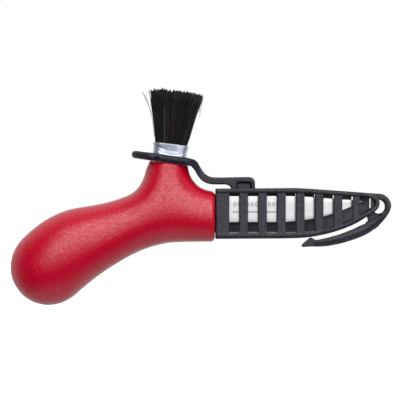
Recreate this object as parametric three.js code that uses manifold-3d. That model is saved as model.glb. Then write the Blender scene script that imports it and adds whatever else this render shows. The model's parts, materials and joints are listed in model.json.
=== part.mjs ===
// A forager's mushroom knife with a cleaning brush, carried in its slotted sheath.
//
// Frame, in millimetres: the origin is the centre of the whole object's bounding box, on the
// knife's mid plane. +X runs along the blade to its tip, +Z points up from the cutting edge past
// the spine to the brush. -Y is the near side for someone who holds the knife in the right hand
// with the blade pointing right; near and far below mean -Y and +Y, left and right -X and +X.
// The outlines are drawn from the middle of the handle's right end, where the blade comes out.
//
// The knife is a moulded handle with a steel blade set in it and a bristle brush set in its neck.
// The sheath is one slotted moulding. Its strap ends in a ring that drops over the brush and locks
// the sheath on, and its belt clip springs away from the lower edge.
import * as THREE from 'three';
import { mergeVertices } from 'three/addons/utils/BufferGeometryUtils.js';
import Module from 'manifold-3d';

const wasm = await Module();
wasm.setup();

// ---------------------------------------------------------------- shared dimensions
const BOX_CENTRE = { x: -6.94, z: 9.08 }; // from the middle of the handle's right end
const GAP = 0.3; // between neighbouring solids
const EDGE_BEVEL = 0.5; // on the sheath's rim, loop, strap and clip
const THROUGH = 9; // half width in Y of tools that pass right through the sheath's parts
const TALL = 30; // half height in Z of tools that pass over the whole sheath

// ---------------------------------------------------------------- solids
function toSolid(geometry) {
  const bare = geometry.index ? geometry.toNonIndexed() : geometry;
  bare.deleteAttribute('normal');
  bare.deleteAttribute('uv');
  const merged = mergeVertices(bare, 1e-4);
  return new wasm.Manifold(new wasm.Mesh({
    numProp: 3,
    vertProperties: new Float32Array(merged.attributes.position.array),
    triVerts: new Uint32Array(merged.index.array),
  }));
}

function solidFrom(coordinates, triangles) {
  const geometry = new THREE.BufferGeometry();
  geometry.setAttribute('position', new THREE.Float32BufferAttribute(coordinates, 3));
  geometry.setIndex(triangles);
  return toSolid(geometry);
}

function toGeometry(solid) {
  const { numProp, numVert, vertProperties, triVerts } = solid.getMesh();
  const positions = new Float32Array(numVert * 3);
  for (let i = 0; i < numVert; i++) {
    positions.set(vertProperties.subarray(i * numProp, i * numProp + 3), i * 3);
  }
  const geometry = new THREE.BufferGeometry();
  geometry.setAttribute('position', new THREE.BufferAttribute(positions, 3));
  geometry.setIndex(new THREE.BufferAttribute(new Uint32Array(triVerts), 1));
  geometry.computeVertexNormals();
  return geometry;
}

const union = (solids) => solids.reduce((whole, part) => whole.add(part));

// An outline in X and Y, extruded from z0 to z1, with an optional bevel inside those limits.
function extrude(outline, z0, z1, bevel = 0) {
  const shape = new THREE.Shape(outline.map(([x, y]) => new THREE.Vector2(x, y)));
  const geometry = new THREE.ExtrudeGeometry(shape, {
    depth: z1 - z0 - 2 * bevel,
    bevelEnabled: bevel > 0,
    bevelThickness: bevel,
    bevelSize: bevel,
    bevelOffset: -bevel,
    bevelSegments: 1,
  });
  return geometry.translate(0, 0, z0 + bevel);
}

// A plate with an outline in X and Z, from y0 to y1.
function plate(outline, [y0, y1], bevel) {
  return toSolid(extrude(outline, -y1, -y0, bevel).rotateX(Math.PI / 2));
}

const midPlate = (outline, halfY, bevel) => plate(outline, [-halfY, halfY], bevel);
const throughPlate = (outline) => midPlate(outline, THROUGH);

function boxGeometry([x0, x1], [y0, y1], [z0, z1]) {
  const geometry = new THREE.BoxGeometry(x1 - x0, y1 - y0, z1 - z0);
  return geometry.translate((x0 + x1) / 2, (y0 + y1) / 2, (z0 + z1) / 2);
}

const box = (spanX, spanY, spanZ) => toSolid(boxGeometry(spanX, spanY, spanZ));

// A cylinder along Y, centred on the mid plane.
function rod({ x, z, radius }, halfY, segments = 40) {
  const geometry = new THREE.CylinderGeometry(radius, radius, 2 * halfY, segments);
  return toSolid(geometry.translate(x, 0, z));
}

// Rings of equal length joined into a closed skin. The first and last are capped, or, if the
// skin is looped, joined to each other.
function loft(rings, looped = false) {
  const size = rings[0].length;
  const triangles = [];
  for (let i = 0; i < (looped ? rings.length : rings.length - 1); i++) {
    const here = i * size;
    const there = ((i + 1) % rings.length) * size;
    for (let k = 0; k < size; k++) {
      const next = (k + 1) % size;
      triangles.push(here + k, here + next, there + next);
      triangles.push(here + k, there + next, there + k);
    }
  }
  if (!looped) {
    const last = (rings.length - 1) * size;
    for (let k = 1; k < size - 1; k++) {
      triangles.push(0, k + 1, k);
      triangles.push(last, last + k, last + k + 1);
    }
  }
  const coordinates = rings.flat(2);
  const solid = solidFrom(coordinates, triangles);
  if (solid.volume() > 0) return solid;
  // The rings ran the other way round, so every triangle is turned over.
  for (let i = 0; i < triangles.length; i += 3) {
    [triangles[i + 1], triangles[i + 2]] = [triangles[i + 2], triangles[i + 1]];
  }
  return solidFrom(coordinates, triangles);
}

// ---------------------------------------------------------------- outlines and tables
// A closed smooth outline of so many points, through the given ones.
function smoothClosed(points, count) {
  const knots = points.map(([x, y]) => new THREE.Vector3(x, y, 0));
  const curve = new THREE.CatmullRomCurve3(knots, true, 'centripetal');
  return curve.getPoints(count).slice(0, count).map(({ x, y }) => [x, y]);
}

// Half an outline in X and Y, followed by its mirror image across the mid plane.
const withMirror = (half) => [...half, ...half.map(([x, y]) => [x, -y]).reverse()];

// The row at a place in the table's first column; the end segments run on past the table.
function rowAt(table, place) {
  const next = table.slice(1).find((row) => place <= row[0]) ?? table.at(-1);
  const previous = table[table.indexOf(next) - 1];
  const share = (place - previous[0]) / (next[0] - previous[0]);
  return next.map((value, column) => previous[column] + share * (value - previous[column]));
}

// ---------------------------------------------------------------- the brush's own frame
// X runs across the neck, Z up from the middle of its flat top.
const NECK = { x: -22.25, z: 25.0, lean: 8 }; // lean towards the blade, degrees
const lean = THREE.MathUtils.degToRad(NECK.lean);
const brushMatrix = new THREE.Matrix4().makeBasis(
  new THREE.Vector3(Math.cos(lean), 0, -Math.sin(lean)),
  new THREE.Vector3(0, 1, 0),
  new THREE.Vector3(Math.sin(lean), 0, Math.cos(lean)),
).setPosition(NECK.x, 0, NECK.z);

// Brush sections: height above the neck's top, middle, half width, half depth.
const FERRULE = [
  [-6.6, -0.1, 7.0, 4.75], [0, -0.1, 7.2, 4.85], [3.8, -0.12, 7.7, 4.98], [6.0, -0.18, 7.95, 5.04],
  [8.0, -0.22, 8.4, 5.4], [8.3, -0.22, 8.45, 5.45], [8.65, -0.22, 8.35, 5.35],
];
const TUFT = [
  [4.1, -0.15, 6.6, 4.15], [8.9, -0.15, 7.25, 4.6], [9.5, -0.12, 7.6, 4.75],
  [15.5, -0.38, 8.9, 5.3], [24, -1.18, 10.75, 6.05], [27, -1.43, 11.4, 6.3],
  [32.6, -0.9, 12.1, 6.7], [33.95, -0.8, 12.0, 6.5], [34.5, 0.6, 8.6, 5.0],
];
const FERRULE_WALL = 0.45;
const SOCKET_HEIGHTS = [-6.95, 0, 2]; // the handle's socket, from its floor to above the neck
const PEG_HEIGHTS = [-6.5, 0.4];
const SETTING_HEIGHTS = [0.75, 3.75];

// A superellipse across the brush; power 2 is an ellipse, higher powers are squarer.
function brushRing([height, middle, halfWidth, halfDepth], count = 40, power = 3) {
  const bulge = (value) => Math.sign(value) * Math.abs(value) ** (2 / power);
  return Array.from({ length: count }, (_, i) => {
    const angle = (2 * Math.PI * i) / count;
    return new THREE.Vector3(
      middle + halfWidth * bulge(Math.cos(angle)),
      halfDepth * bulge(Math.sin(angle)),
      height,
    ).applyMatrix4(brushMatrix).toArray();
  });
}

// The ferrule's section at a height, made smaller all round by an inset.
function ferruleRing(height, inset) {
  const [, middle, halfWidth, halfDepth] = rowAt(FERRULE, height);
  return brushRing([height, middle, halfWidth - inset, halfDepth - inset]);
}

function makeFerrule() {
  const outside = FERRULE.map((row) => brushRing(row));
  const inside = FERRULE.map(([height]) => ferruleRing(height, FERRULE_WALL)).reverse();
  return loft([...outside, ...inside], true);
}

// A filling that clears the inside of the ferrule.
const brushFill = (heights) => loft(heights.map((height) => ferruleRing(height, FERRULE_WALL + GAP)));

const makeTuft = () => loft(TUFT.map((row) => brushRing(row)));

// ---------------------------------------------------------------- tang and spigot
const HANDLE_END_X = -0.35; // the handle's flat right end
const SPIGOT = { length: 5.5, z0: -7.7, z1: 10.3, halfY: 3.0 }; // the sheath's mouth grips it
const SPIGOT_END_X = HANDLE_END_X + SPIGOT.length;
const BLADE_T = 2.0; // blade and tang thickness
const TANG_LENGTH = 42;
const TANG_HOLES = [{ x: -14, z: 2.2, radius: 1.6 }, { x: -30, z: 1.2, radius: 1.6 }];

// The tang's outline in X and Z up to a right end, grown by a clearance.
function tangOutline(rightX, clearance = 0) {
  const leftX = -TANG_LENGTH - clearance;
  const upper = [[rightX, 7.4], [-3, 7.4], [leftX + 1, 3.0], [leftX, 2.0]];
  const lower = [[leftX, -1.6], [leftX + 1, -2.4], [-3, -1.4], [rightX, -1.4]];
  return [
    ...upper.map(([x, z]) => [x, z + clearance]),
    ...lower.map(([x, z]) => [x, z - clearance]),
  ];
}

// ---------------------------------------------------------------- handle
// Side outline in X and Z. It runs past the right end and past the neck's top, where it is cut.
const HANDLE_OUTLINE = [
  [22.1, 12.1], [9.3, 11.95], [-0.2, 11.8], [-3.6, 12.2], [-6.9, 13.45], [-9.6, 15.7],
  [-11.5, 18.3], [-12.7, 21.15], [-13.4, 24.2], [-12.3, 32.3], [-10.7, 44.2], [-27.3, 46.1],
  [-29.1, 36.1], [-31.3, 26.4], [-32.55, 22.8], [-33.65, 19.6], [-35.0, 16.3], [-37.2, 12.95],
  [-40.2, 10.5], [-43.9, 8.85], [-48.7, 7.25], [-54.4, 5.8], [-60.1, 4.75], [-65.8, 3.85],
  [-71.5, 2.42], [-77.2, 0.0], [-82.9, -3.35], [-88.6, -7.9], [-93.1, -12.5], [-96.1, -17.8],
  [-97.3, -23.4], [-96.7, -29.2], [-94.3, -34.2], [-90.5, -38.45], [-85.5, -41.2],
  [-80.0, -42.3], [-74.1, -41.5], [-68.95, -38.9], [-62.6, -33.6], [-56.95, -29.05],
  [-51.25, -24.95], [-45.6, -21.4], [-39.95, -18.2], [-34.3, -15.65], [-28.65, -13.95],
  [-22.05, -12.72], [-14.5, -12.32], [-5.95, -12.17], [4.5, -12.1], [22.1, -12.1],
];
// Thickness over height at the right end, and how much it grows to the left over a span.
const THICKNESS = { start: 0.8, growth: 0.24, span: 80 };
// The grid in X and Z on which the handle's height field is solved.
const FIELD = { x: -102.3, z: -46.2, cell: 1.1, countX: 115, countZ: 87 };
const FIELD_SOLVER = {
  sweeps: 900,
  relaxation: 1.7, // over-relaxation factor
  shortestArm: 0.05, // least distance to the outline, in cells
};
// The coarser grid from which the skin is drawn: every so many field cells, and layers in Y.
const SKIN = { stride: 2, y: -19, layer: 2.0 };
const SKIN_CELLS = [
  Math.floor((FIELD.countX - 1) / SKIN.stride),
  20,
  Math.floor((FIELD.countZ - 1) / SKIN.stride),
];

const clamp = THREE.MathUtils.clamp;
const fieldIndex = (i, k) => i * FIELD.countZ + k;

// Calls visit(index, i, k) for every field node that isn't on the border.
function eachInnerNode(visit) {
  for (let i = 1; i < FIELD.countX - 1; i++) {
    for (let k = 1; k < FIELD.countZ - 1; k++) visit(fieldIndex(i, k), i, k);
  }
}

// Distance from the outline, positive inside.
function depthInside(outline, x, z) {
  let nearest = Infinity;
  let inside = false;
  outline.forEach(([startX, startZ], i) => {
    const [endX, endZ] = outline.at(i - 1);
    const alongX = endX - startX;
    const alongZ = endZ - startZ;
    const dot = (x - startX) * alongX + (z - startZ) * alongZ;
    const share = clamp(dot / (alongX * alongX + alongZ * alongZ), 0, 1);
    const distance = Math.hypot(x - startX - share * alongX, z - startZ - share * alongZ);
    nearest = Math.min(nearest, distance);
    const crosses = startZ > z !== endZ > z && x < (alongX * (z - startZ)) / alongZ + startX;
    if (crosses) inside = !inside;
  });
  return inside ? nearest : -nearest;
}

function fieldDepths(outline) {
  const depths = new Float64Array(FIELD.countX * FIELD.countZ);
  for (let i = 0; i < FIELD.countX; i++) {
    for (let k = 0; k < FIELD.countZ; k++) {
      const x = FIELD.x + i * FIELD.cell;
      const z = FIELD.z + k * FIELD.cell;
      depths[fieldIndex(i, k)] = depthInside(outline, x, z);
    }
  }
  return depths;
}

// Solves a membrane problem over the outline, with height 0 on the outline itself.
function solveMembrane(depths) {
  const nodes = [];
  const pairWeights = (one, other) => [2 / (one * (one + other)), 2 / (other * (one + other))];
  eachInnerNode((index) => {
    const depth = depths[index];
    if (depth <= 1e-6) return;
    const neighbours = [index - FIELD.countZ, index + FIELD.countZ, index - 1, index + 1];
    const arms = neighbours.map((neighbour) => {
      if (depths[neighbour] > 0) return 1;
      return Math.max(FIELD_SOLVER.shortestArm, depth / (depth - depths[neighbour]));
    });
    const weights = [...pairWeights(arms[0], arms[1]), ...pairWeights(arms[2], arms[3])];
    const total = weights.reduce((sum, weight) => sum + weight);
    nodes.push({ index, neighbours, weights, total });
  });
  const heights = new Float64Array(depths.length);
  const load = 2 * FIELD.cell * FIELD.cell;
  for (let sweep = 0; sweep < FIELD_SOLVER.sweeps; sweep++) {
    for (const { index, neighbours, weights, total } of nodes) {
      let sum = 0;
      for (let n = 0; n < 4; n++) sum += weights[n] * heights[neighbours[n]];
      heights[index] += FIELD_SOLVER.relaxation * ((sum + load) / total - heights[index]);
    }
  }
  return heights;
}

// Outside the outline the height runs on downhill at the slope it had at the edge.
function extendOutside(heights, depths) {
  const reach = 2; // nodes each way
  const leastDepth = 0.2; // nodes nearer the outline give no reliable slope
  const farSlope = 20; // where no inside node is in reach
  eachInnerNode((index, i, k) => {
    if (depths[index] > 1e-6) return;
    let slopes = 0;
    let count = 0;
    for (let a = -reach; a <= reach; a++) {
      for (let b = -reach; b <= reach; b++) {
        const near = fieldIndex(
          clamp(i + a, 0, FIELD.countX - 1),
          clamp(k + b, 0, FIELD.countZ - 1),
        );
        if (depths[near] <= leastDepth) continue;
        slopes += heights[near] / depths[near];
        count++;
      }
    }
    heights[index] = depths[index] * (count ? slopes / count : farSlope);
  });
}

function thicknessAt(x) {
  const share = clamp(-x / THICKNESS.span, 0, 1);
  return THICKNESS.start + THICKNESS.growth * share * share * (3 - 2 * share);
}

const skinPoint = ([i, j, k]) => [
  FIELD.x + i * SKIN.stride * FIELD.cell,
  SKIN.y + j * SKIN.layer,
  FIELD.z + k * SKIN.stride * FIELD.cell,
];

// Draws the surface where level(node) is zero: a point in every cell that it crosses, and a quad
// round every grid edge that it crosses. Nodes and cells are [i, j, k].
function surfaceNet(level) {
  const [cellsX, cellsY, cellsZ] = SKIN_CELLS;
  const keyOf = ([i, j, k]) => (i * (cellsY + 2) + j) * (cellsZ + 2) + k;
  const pointOf = new Map();
  const coordinates = [];

  const addPoint = (cell) => {
    const corners = [];
    for (let c = 0; c < 8; c++) {
      corners.push([cell[0] + (c & 1), cell[1] + ((c >> 1) & 1), cell[2] + (c >> 2)]);
    }
    const levels = corners.map(level);
    if (levels.every((value) => value > 0) || levels.every((value) => value <= 0)) return;
    const sum = [0, 0, 0];
    let count = 0;
    for (let a = 0; a < 8; a++) {
      for (const bit of [1, 2, 4]) {
        const b = a | bit;
        if (b === a || levels[a] > 0 === levels[b] > 0) continue;
        const share = levels[a] / (levels[a] - levels[b]);
        const start = skinPoint(corners[a]);
        const end = skinPoint(corners[b]);
        for (let d = 0; d < 3; d++) sum[d] += start[d] + share * (end[d] - start[d]);
        count++;
      }
    }
    pointOf.set(keyOf(cell), coordinates.length / 3);
    coordinates.push(...sum.map((value) => value / count));
  };
  for (let i = 0; i < cellsX; i++) {
    for (let j = 0; j < cellsY; j++) {
      for (let k = 0; k < cellsZ; k++) addPoint([i, j, k]);
    }
  }

  const triangles = [];
  const moved = (node, axes, by) => node.map((value, d) => (axes.includes(d) ? value + by : value));
  const addQuad = (node, axis) => {
    const second = (axis + 1) % 3;
    const third = (axis + 2) % 3;
    if (node[axis] >= SKIN_CELLS[axis] || node[second] <= 0 || node[third] <= 0) return;
    const inside = level(node) > 0;
    if (inside === level(moved(node, [axis], 1)) > 0) return;
    const [a, b, c, d] = [[second, third], [third], [], [second]]
      .map((axes) => pointOf.get(keyOf(moved(node, axes, -1))));
    triangles.push(...(inside ? [a, b, c, a, c, d] : [a, c, b, a, d, c]));
  };
  for (let i = 0; i <= cellsX; i++) {
    for (let j = 0; j <= cellsY; j++) {
      for (let k = 0; k <= cellsZ; k++) {
        for (let axis = 0; axis < 3; axis++) addQuad([i, j, k], axis);
      }
    }
  }
  return solidFrom(coordinates, triangles);
}

// The skin is inflated from the side outline, so that its sections come out as smooth ovals.
function handleSkin() {
  const depths = fieldDepths(smoothClosed(HANDLE_OUTLINE, 220));
  const heights = solveMembrane(depths);
  extendOutside(heights, depths);
  return surfaceNet((node) => {
    if (node.some((value, axis) => value <= 0 || value >= SKIN_CELLS[axis])) return -1;
    const [x, y] = skinPoint(node);
    const height = heights[fieldIndex(node[0] * SKIN.stride, node[2] * SKIN.stride)];
    return thicknessAt(x) ** 2 * height - y * y;
  });
}

function makeHandle() {
  const beyondEnd = box([HANDLE_END_X, 60], [-40, 40], [-60, 60]);
  const aboveNeck = toSolid(boxGeometry([-40, 40], [-40, 40], [0, 60]).applyMatrix4(brushMatrix));
  const { z0, z1, halfY } = SPIGOT;
  const spigot = box([-2, SPIGOT_END_X], [-halfY, halfY], [z0, z1]);
  const tangPocket = midPlate(tangOutline(20, GAP), BLADE_T / 2 + GAP);
  const brushSocket = loft(SOCKET_HEIGHTS.map((height) => ferruleRing(height, -GAP)));
  return handleSkin()
    .subtract(beyondEnd)
    .subtract(aboveNeck)
    .add(spigot)
    .subtract(tangPocket)
    .subtract(brushSocket);
}

// ---------------------------------------------------------------- blade
const BEVEL_HEIGHT = 10.0; // of the ground faces, which run nearly up to the spine
const BEVEL_SHARE = 0.8; // most of the blade's height that they take up
const EDGE_T = 0.16; // thickness left at the edge
// Spine and cutting edge, X and Z.
const BLADE_TOP = [
  [-0.3, 9.55], [35.4, 9.59], [42.1, 9.36], [46.7, 8.98], [51.1, 8.6], [55.7, 8.31],
  [60.1, 7.98], [64.55, 7.65], [67.7, 7.4], [69.9, 7.2],
];
const BLADE_BOTTOM = [
  [-0.3, -2.94], [28.3, -2.94], [33.5, -2.76], [37.8, -2.33], [42.1, -1.85], [46.7, -1.1],
  [51.1, -0.1], [55.7, 1.15], [60.1, 2.7], [64.55, 4.5], [67.7, 6.0], [69.9, 7.0],
];

function makeBlade() {
  const rootX = SPIGOT_END_X + GAP;
  const stations = [rootX, 12, 20, 28, ...BLADE_BOTTOM.slice(2).map(([x]) => x)];
  const sections = stations.map((x, i) => {
    const [, top] = rowAt(BLADE_TOP, x);
    const [, low] = rowAt(BLADE_BOTTOM, x);
    const shoulder = low + Math.min(BEVEL_HEIGHT, BEVEL_SHARE * (top - low));
    const atTip = i === stations.length - 1;
    const half = atTip ? BLADE_T / 4 : BLADE_T / 2;
    return [
      [x, -half, top], [x, half, top], [x, half, shoulder],
      [x, EDGE_T / 2, low], [x, -EDGE_T / 2, low], [x, -half, shoulder],
    ];
  });
  const tang = midPlate(tangOutline(rootX + 1), BLADE_T / 2);
  const holes = union(TANG_HOLES.map((hole) => rod(hole, 5, 20)));
  return loft(sections).add(tang).subtract(holes);
}

// ---------------------------------------------------------------- pivots
const STRAP_PIVOT = { x: 7.6, z: 16.62, radius: 1.66 };
const CLIP_PIVOT = { x: 72.6, z: -5.6, radius: 2.0 };
const STRAP_HALF_Y = 4.5; // also the bracket's
const CLIP_HALF_Y = 3.2;
const PIN_INSET = 0.3; // from the part's side to the end of its pin

const pivotSeat = (pivot) => rod({ ...pivot, radius: pivot.radius + GAP }, THROUGH);
const pivotPin = (pivot, halfY) => rod(pivot, halfY - PIN_INSET);

// ---------------------------------------------------------------- sheath body
const SHEATH = {
  rimHalfY: 5.5,
  wallOuterY: 5.1, // outer and inner faces of the bars
  wallInnerY: 3.4,
  wallHeightShare: 0.97, // of the rim's outline, in Z
  mouthX: -0.05,
  nearBandEndX: 6.5, // right end of the closed band round the mouth
  farBandEndX: 5.3,
  farTipX: 74.05, // the far wall is closed from here to the tip
};
const BAR_PITCH = 8.92;
const NEAR_BARS = { x: 11.08, width: 4.25, count: 7, lastTrim: 0 };
const FAR_BARS = { x: 6.02, width: 5.25, count: 8, lastTrim: 0.45 }; // behind the near windows
const LOOP_HALF_Y = 3.2;
const WEB_HALF_Y = 1.5;

// Outlines in X and Z.
const SHEATH_OUTER = [
  [0, 13.02], [28.97, 13.21], [38.66, 13.25], [42.94, 13.03], [53.25, 12.32], [65.31, 11.45],
  [72.44, 10.78], [75.38, 9.85], [77.0, 8.27], [77.57, 6.27], [77.09, 4.18], [75.48, 2.28],
  [71.87, -0.09], [67.64, -2.8], [63.36, -4.89], [59.14, -6.51], [53.25, -8.27], [45.36, -9.88],
  [40.14, -10.36], [35.06, -10.58], [18, -10.72], [0, -10.85],
];
const SHEATH_INNER = [
  [-8, 10.88], [28.97, 10.97], [38.66, 11.02], [42.94, 10.78], [53.25, 10.07], [65.31, 9.31],
  [71.49, 8.88], [73.96, 8.27], [75.24, 7.12], [75.57, 5.79], [74.72, 4.47], [72.67, 2.94],
  [68.88, 0.62], [65.5, -1.38], [61.51, -3.28], [57.71, -4.75], [52.01, -6.32], [44.89, -7.69],
  [39.66, -8.07], [34.44, -8.17], [-8, -8.22],
];
// The far wall is closed between this line and its lower edge.
const FAR_SILL = [
  [1, -2.5], [28.3, -2.5], [33.5, -2.3], [37.8, -1.9], [42.1, -1.4], [46.7, -0.6], [51.1, 0.4],
  [55.7, 1.6], [60.1, 3.1], [64.55, 4.7], [67.7, 5.4], [70, 4.9],
];
// The bracket holds the strap's pivot, with a recess in each side.
const BRACKET = [
  [9.62, 18.42], [16.4, 18.52], [17.6, 18.2], [18.4, 17.4], [18.7, 16.3], [18.7, 12.4],
  [7.9, 12.4], [7.4, 13.6], [6.4, 14.5], [9.62, 14.5],
];
const RECESS = [[9.9, 13.4], [9.9, 15.6], [10.4, 16.1], [16.4, 16.1], [17.0, 15.6], [17.05, 13.4]];
const RECESS_FLOOR_Y = 1;
// The loop stands out at the tip and holds the clip's pivot.
const LOOP_OUTER = [
  [70, 9.3], [71.5, 10.75], [75.76, 10.68], [78.38, 10.55], [80.1, 9.98], [81.6, 8.8],
  [82.7, 7.12], [83.3, 5.08], [82.9, 3.1], [81.95, 1.1], [80.35, -1.25], [78.3, -3.6],
  [76.5, -5.3], [75.3, -6.2], [71.5, -3.6], [73.0, 0.5], [72, 4],
];
const LOOP_HOLE = [
  [77.47, 7.93], [78.9, 7.46], [80.13, 6.17], [80.55, 4.51], [80.18, 2.71], [78.99, 1.38],
  [77.47, 0.85], [76.05, 1.38], [75.5, 2.3], [77.1, 4.2], [77.6, 6.2],
];
const WEB = [
  [72.0, 1.5], [76.2, 3.0], [78.5, 1.6], [79.5, -0.5], [76.6, -2.3], [74.3, -2.8],
  [72.6, -2.9], [72.65, -2.1], [72.6, -1.4], [72.35, -0.75], [71.9, -0.1],
];
// Where the loop is thinned down to the web.
const WEB_ZONE = [
  [73.4, -2.6], [78.9, 0.5], [77.5, 0.9], [76.2, 1.3], [75.6, 2.2], [75.0, 2.6], [72.9, 0.4],
  [71.5, -0.9], [71.8, -2.9],
];

const BOTH_SIDES = [-THROUGH, THROUGH];
const NEAR_SIDE = [-THROUGH, 0];
const FAR_SIDE = [0, THROUGH];
const slab = (spanX, spanY) => box(spanX, spanY, [-TALL, TALL]);

function barSlabs({ x, width, count, lastTrim }, side) {
  return Array.from({ length: count }, (_, i) => {
    const left = x + i * BAR_PITCH;
    const trim = i === count - 1 ? lastTrim : 0;
    return slab([left, left + width - trim], side);
  });
}

function sheathRim() {
  return midPlate(SHEATH_OUTER, SHEATH.rimHalfY, EDGE_BEVEL)
    .subtract(slab([-5, SHEATH.mouthX], BOTH_SIDES))
    .subtract(throughPlate(SHEATH_INNER));
}

function sheathWalls() {
  const closedWalls = midPlate(SHEATH_OUTER, SHEATH.wallOuterY)
    .subtract(midPlate(SHEATH_OUTER, SHEATH.wallInnerY));
  const kept = union([
    slab([SHEATH.mouthX, SHEATH.nearBandEndX], NEAR_SIDE),
    ...barSlabs(NEAR_BARS, NEAR_SIDE),
    slab([SHEATH.mouthX, SHEATH.farBandEndX], FAR_SIDE),
    ...barSlabs(FAR_BARS, FAR_SIDE),
    slab([SHEATH.farTipX, 80], FAR_SIDE),
    plate([[1, -20], [70, -20], ...FAR_SILL.toReversed()], FAR_SIDE),
  ]);
  const lowered = SHEATH_OUTER.map(([x, z]) => [x, z * SHEATH.wallHeightShare]);
  return closedWalls.intersect(kept).intersect(midPlate(lowered, SHEATH.rimHalfY));
}

function sheathBracket() {
  return midPlate(BRACKET, STRAP_HALF_Y, 0.25)
    .subtract(plate(RECESS, [-THROUGH, -RECESS_FLOOR_Y]))
    .subtract(plate(RECESS, [RECESS_FLOOR_Y, THROUGH]))
    .subtract(pivotSeat(STRAP_PIVOT));
}

function sheathLoop() {
  const thinZone = midPlate(WEB_ZONE, WEB_HALF_Y).intersect(slab([72.9, 90], BOTH_SIDES));
  const leftOfPivot = box([60, CLIP_PIVOT.x], BOTH_SIDES, [-12, -3.1]); // the clip's arm is here
  return midPlate(smoothClosed(LOOP_OUTER, 60), LOOP_HALF_Y, EDGE_BEVEL)
    .subtract(throughPlate(SHEATH_INNER))
    .subtract(throughPlate(WEB_ZONE))
    .add(midPlate(WEB, WEB_HALF_Y))
    .add(thinZone)
    .subtract(throughPlate(smoothClosed(LOOP_HOLE, 30)))
    .subtract(pivotSeat(CLIP_PIVOT))
    .subtract(leftOfPivot);
}

const makeSheath = () => union([sheathRim(), sheathWalls(), sheathBracket(), sheathLoop()]);

// ---------------------------------------------------------------- retaining strap
// The arm's outline in X and Z: its upper side from the ring to the pivot, then its lower side.
const STRAP = [
  [-13.2, 27.35], [-12.1, 27.2], [-10.7, 26.9], [-9.55, 26.25], [-8.65, 25.4], [-7.9, 24.4],
  [-7.2, 23.2], [-6.5, 21.95], [-5.75, 20.85], [-4.7, 19.75], [-3.4, 18.95], [-2.0, 18.5],
  [-0.5, 18.3], [STRAP_PIVOT.x, STRAP_PIVOT.z + STRAP_PIVOT.radius],
  [STRAP_PIVOT.x, STRAP_PIVOT.z - STRAP_PIVOT.radius], [-0.6, 14.97], [-2.4, 15.1],
  [-4.2, 15.55], [-5.7, 16.3], [-7.0, 17.35], [-8.0, 18.55], [-8.9, 19.9], [-9.6, 21.2],
  [-10.3, 22.3], [-11.1, 23.05], [-12.4, 23.65], [-14.2, 24.1], [-14.6, 27.4],
];
// X and half width where the strap runs into the ring.
const STRAP_SPREAD = [
  [-14.6, 8.6], [-13.4, 8.4], [-12, 7.9], [-10.5, 6.9], [-9, 5.7], [-7.6, 4.8], [-6.6, 4.3],
];
// In the brush's frame.
const RING = { left: -18, right: 9.6, halfY: 9.6, low: 0.2, high: 3.7, bevel: 0.9 };
const RING_HOLE = { left: -12.3, right: 8.75, halfY: 5.9, low: -2, high: 8 };
// Half the ring's plan, X and Y: the thumb tab on the left, the neck into the strap on the right.
const RING_HALF_PLAN = [
  [RING.left + 0.5, 2.6], [RING.left + 2.3, 5.0], [RING.left + 5.5, 7.3],
  [RING.left + 9.5, RING.halfY - 0.15], [-2, RING.halfY], [4, RING.halfY - 0.5],
  [7.0, 8.9], [9.2, 8.2], [RING.right + 0.7, 6.6], [RING.right + 0.9, 2.5],
];

function strapRing() {
  const plan = smoothClosed([[RING.left, 0], ...withMirror(RING_HALF_PLAN)], 64);
  return toSolid(extrude(plan, RING.low, RING.high, RING.bevel).applyMatrix4(brushMatrix));
}

function ringHole() {
  const { left, right, halfY, low, high } = RING_HOLE;
  const section = (height) => [height, (left + right) / 2, (right - left) / 2, halfY];
  return loft([low, high].map((height) => brushRing(section(height), 48, 3.2)));
}

function makeStrap() {
  const spread = toSolid(extrude(withMirror(STRAP_SPREAD), 10, 34));
  return strapRing()
    .add(midPlate(STRAP, STRAP_HALF_Y, EDGE_BEVEL))
    .add(throughPlate(STRAP).intersect(spread))
    .add(pivotPin(STRAP_PIVOT, STRAP_HALF_Y))
    .subtract(ringHole());
}

// ---------------------------------------------------------------- belt clip
// Outline in X and Z.
const CLIP = [
  [73.2, -3.75], [72.3, -3.45], [69.75, -4.15], [65.5, -6.2], [59.15, -8.7], [53.25, -10.35],
  [50.45, -10.98], [49.0, -11.25], [47.6, -11.35], [46.7, -10.95], [45.9, -10.45], [45.1, -10.2],
  [41.35, -13.3], [40.75, -14.05], [41.3, -14.75], [42.95, -14.6], [45.35, -14.45],
  [48.95, -14.6], [53.25, -14.25], [59.25, -13.1], [65.5, -11.2], [69.75, -9.6], [72.6, -7.9],
];

function makeClip() {
  const { x, z } = CLIP_PIVOT;
  return midPlate(CLIP, CLIP_HALF_Y, EDGE_BEVEL)
    .subtract(box([x, x + 5], BOTH_SIDES, [z - 6, z + 6]))
    .add(pivotPin(CLIP_PIVOT, CLIP_HALF_Y));
}

// ---------------------------------------------------------------- materials
const material = (settings) => new THREE.MeshStandardMaterial(settings);
const red = material({ color: 0xc2122a, roughness: 0.55, metalness: 0 });
const black = material({ color: 0x2b2b30, roughness: 0.6, metalness: 0 });
const steel = material({ color: 0xd9d9dc, roughness: 0.3, metalness: 1 });
const tin = material({ color: 0xcdd3de, roughness: 0.25, metalness: 1 });
const hair = material({ color: 0x161314, roughness: 0.7, metalness: 0 });
const resin = material({ color: 0x8a6a3a, roughness: 0.4, metalness: 0 });
const wood = material({ color: 0xc9a06a, roughness: 0.7, metalness: 0 });

// ---------------------------------------------------------------- assembly
function addPiece(parent, name, solid, pieceMaterial) {
  const mesh = new THREE.Mesh(toGeometry(solid), pieceMaterial);
  mesh.name = name;
  parent.add(mesh);
}

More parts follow.
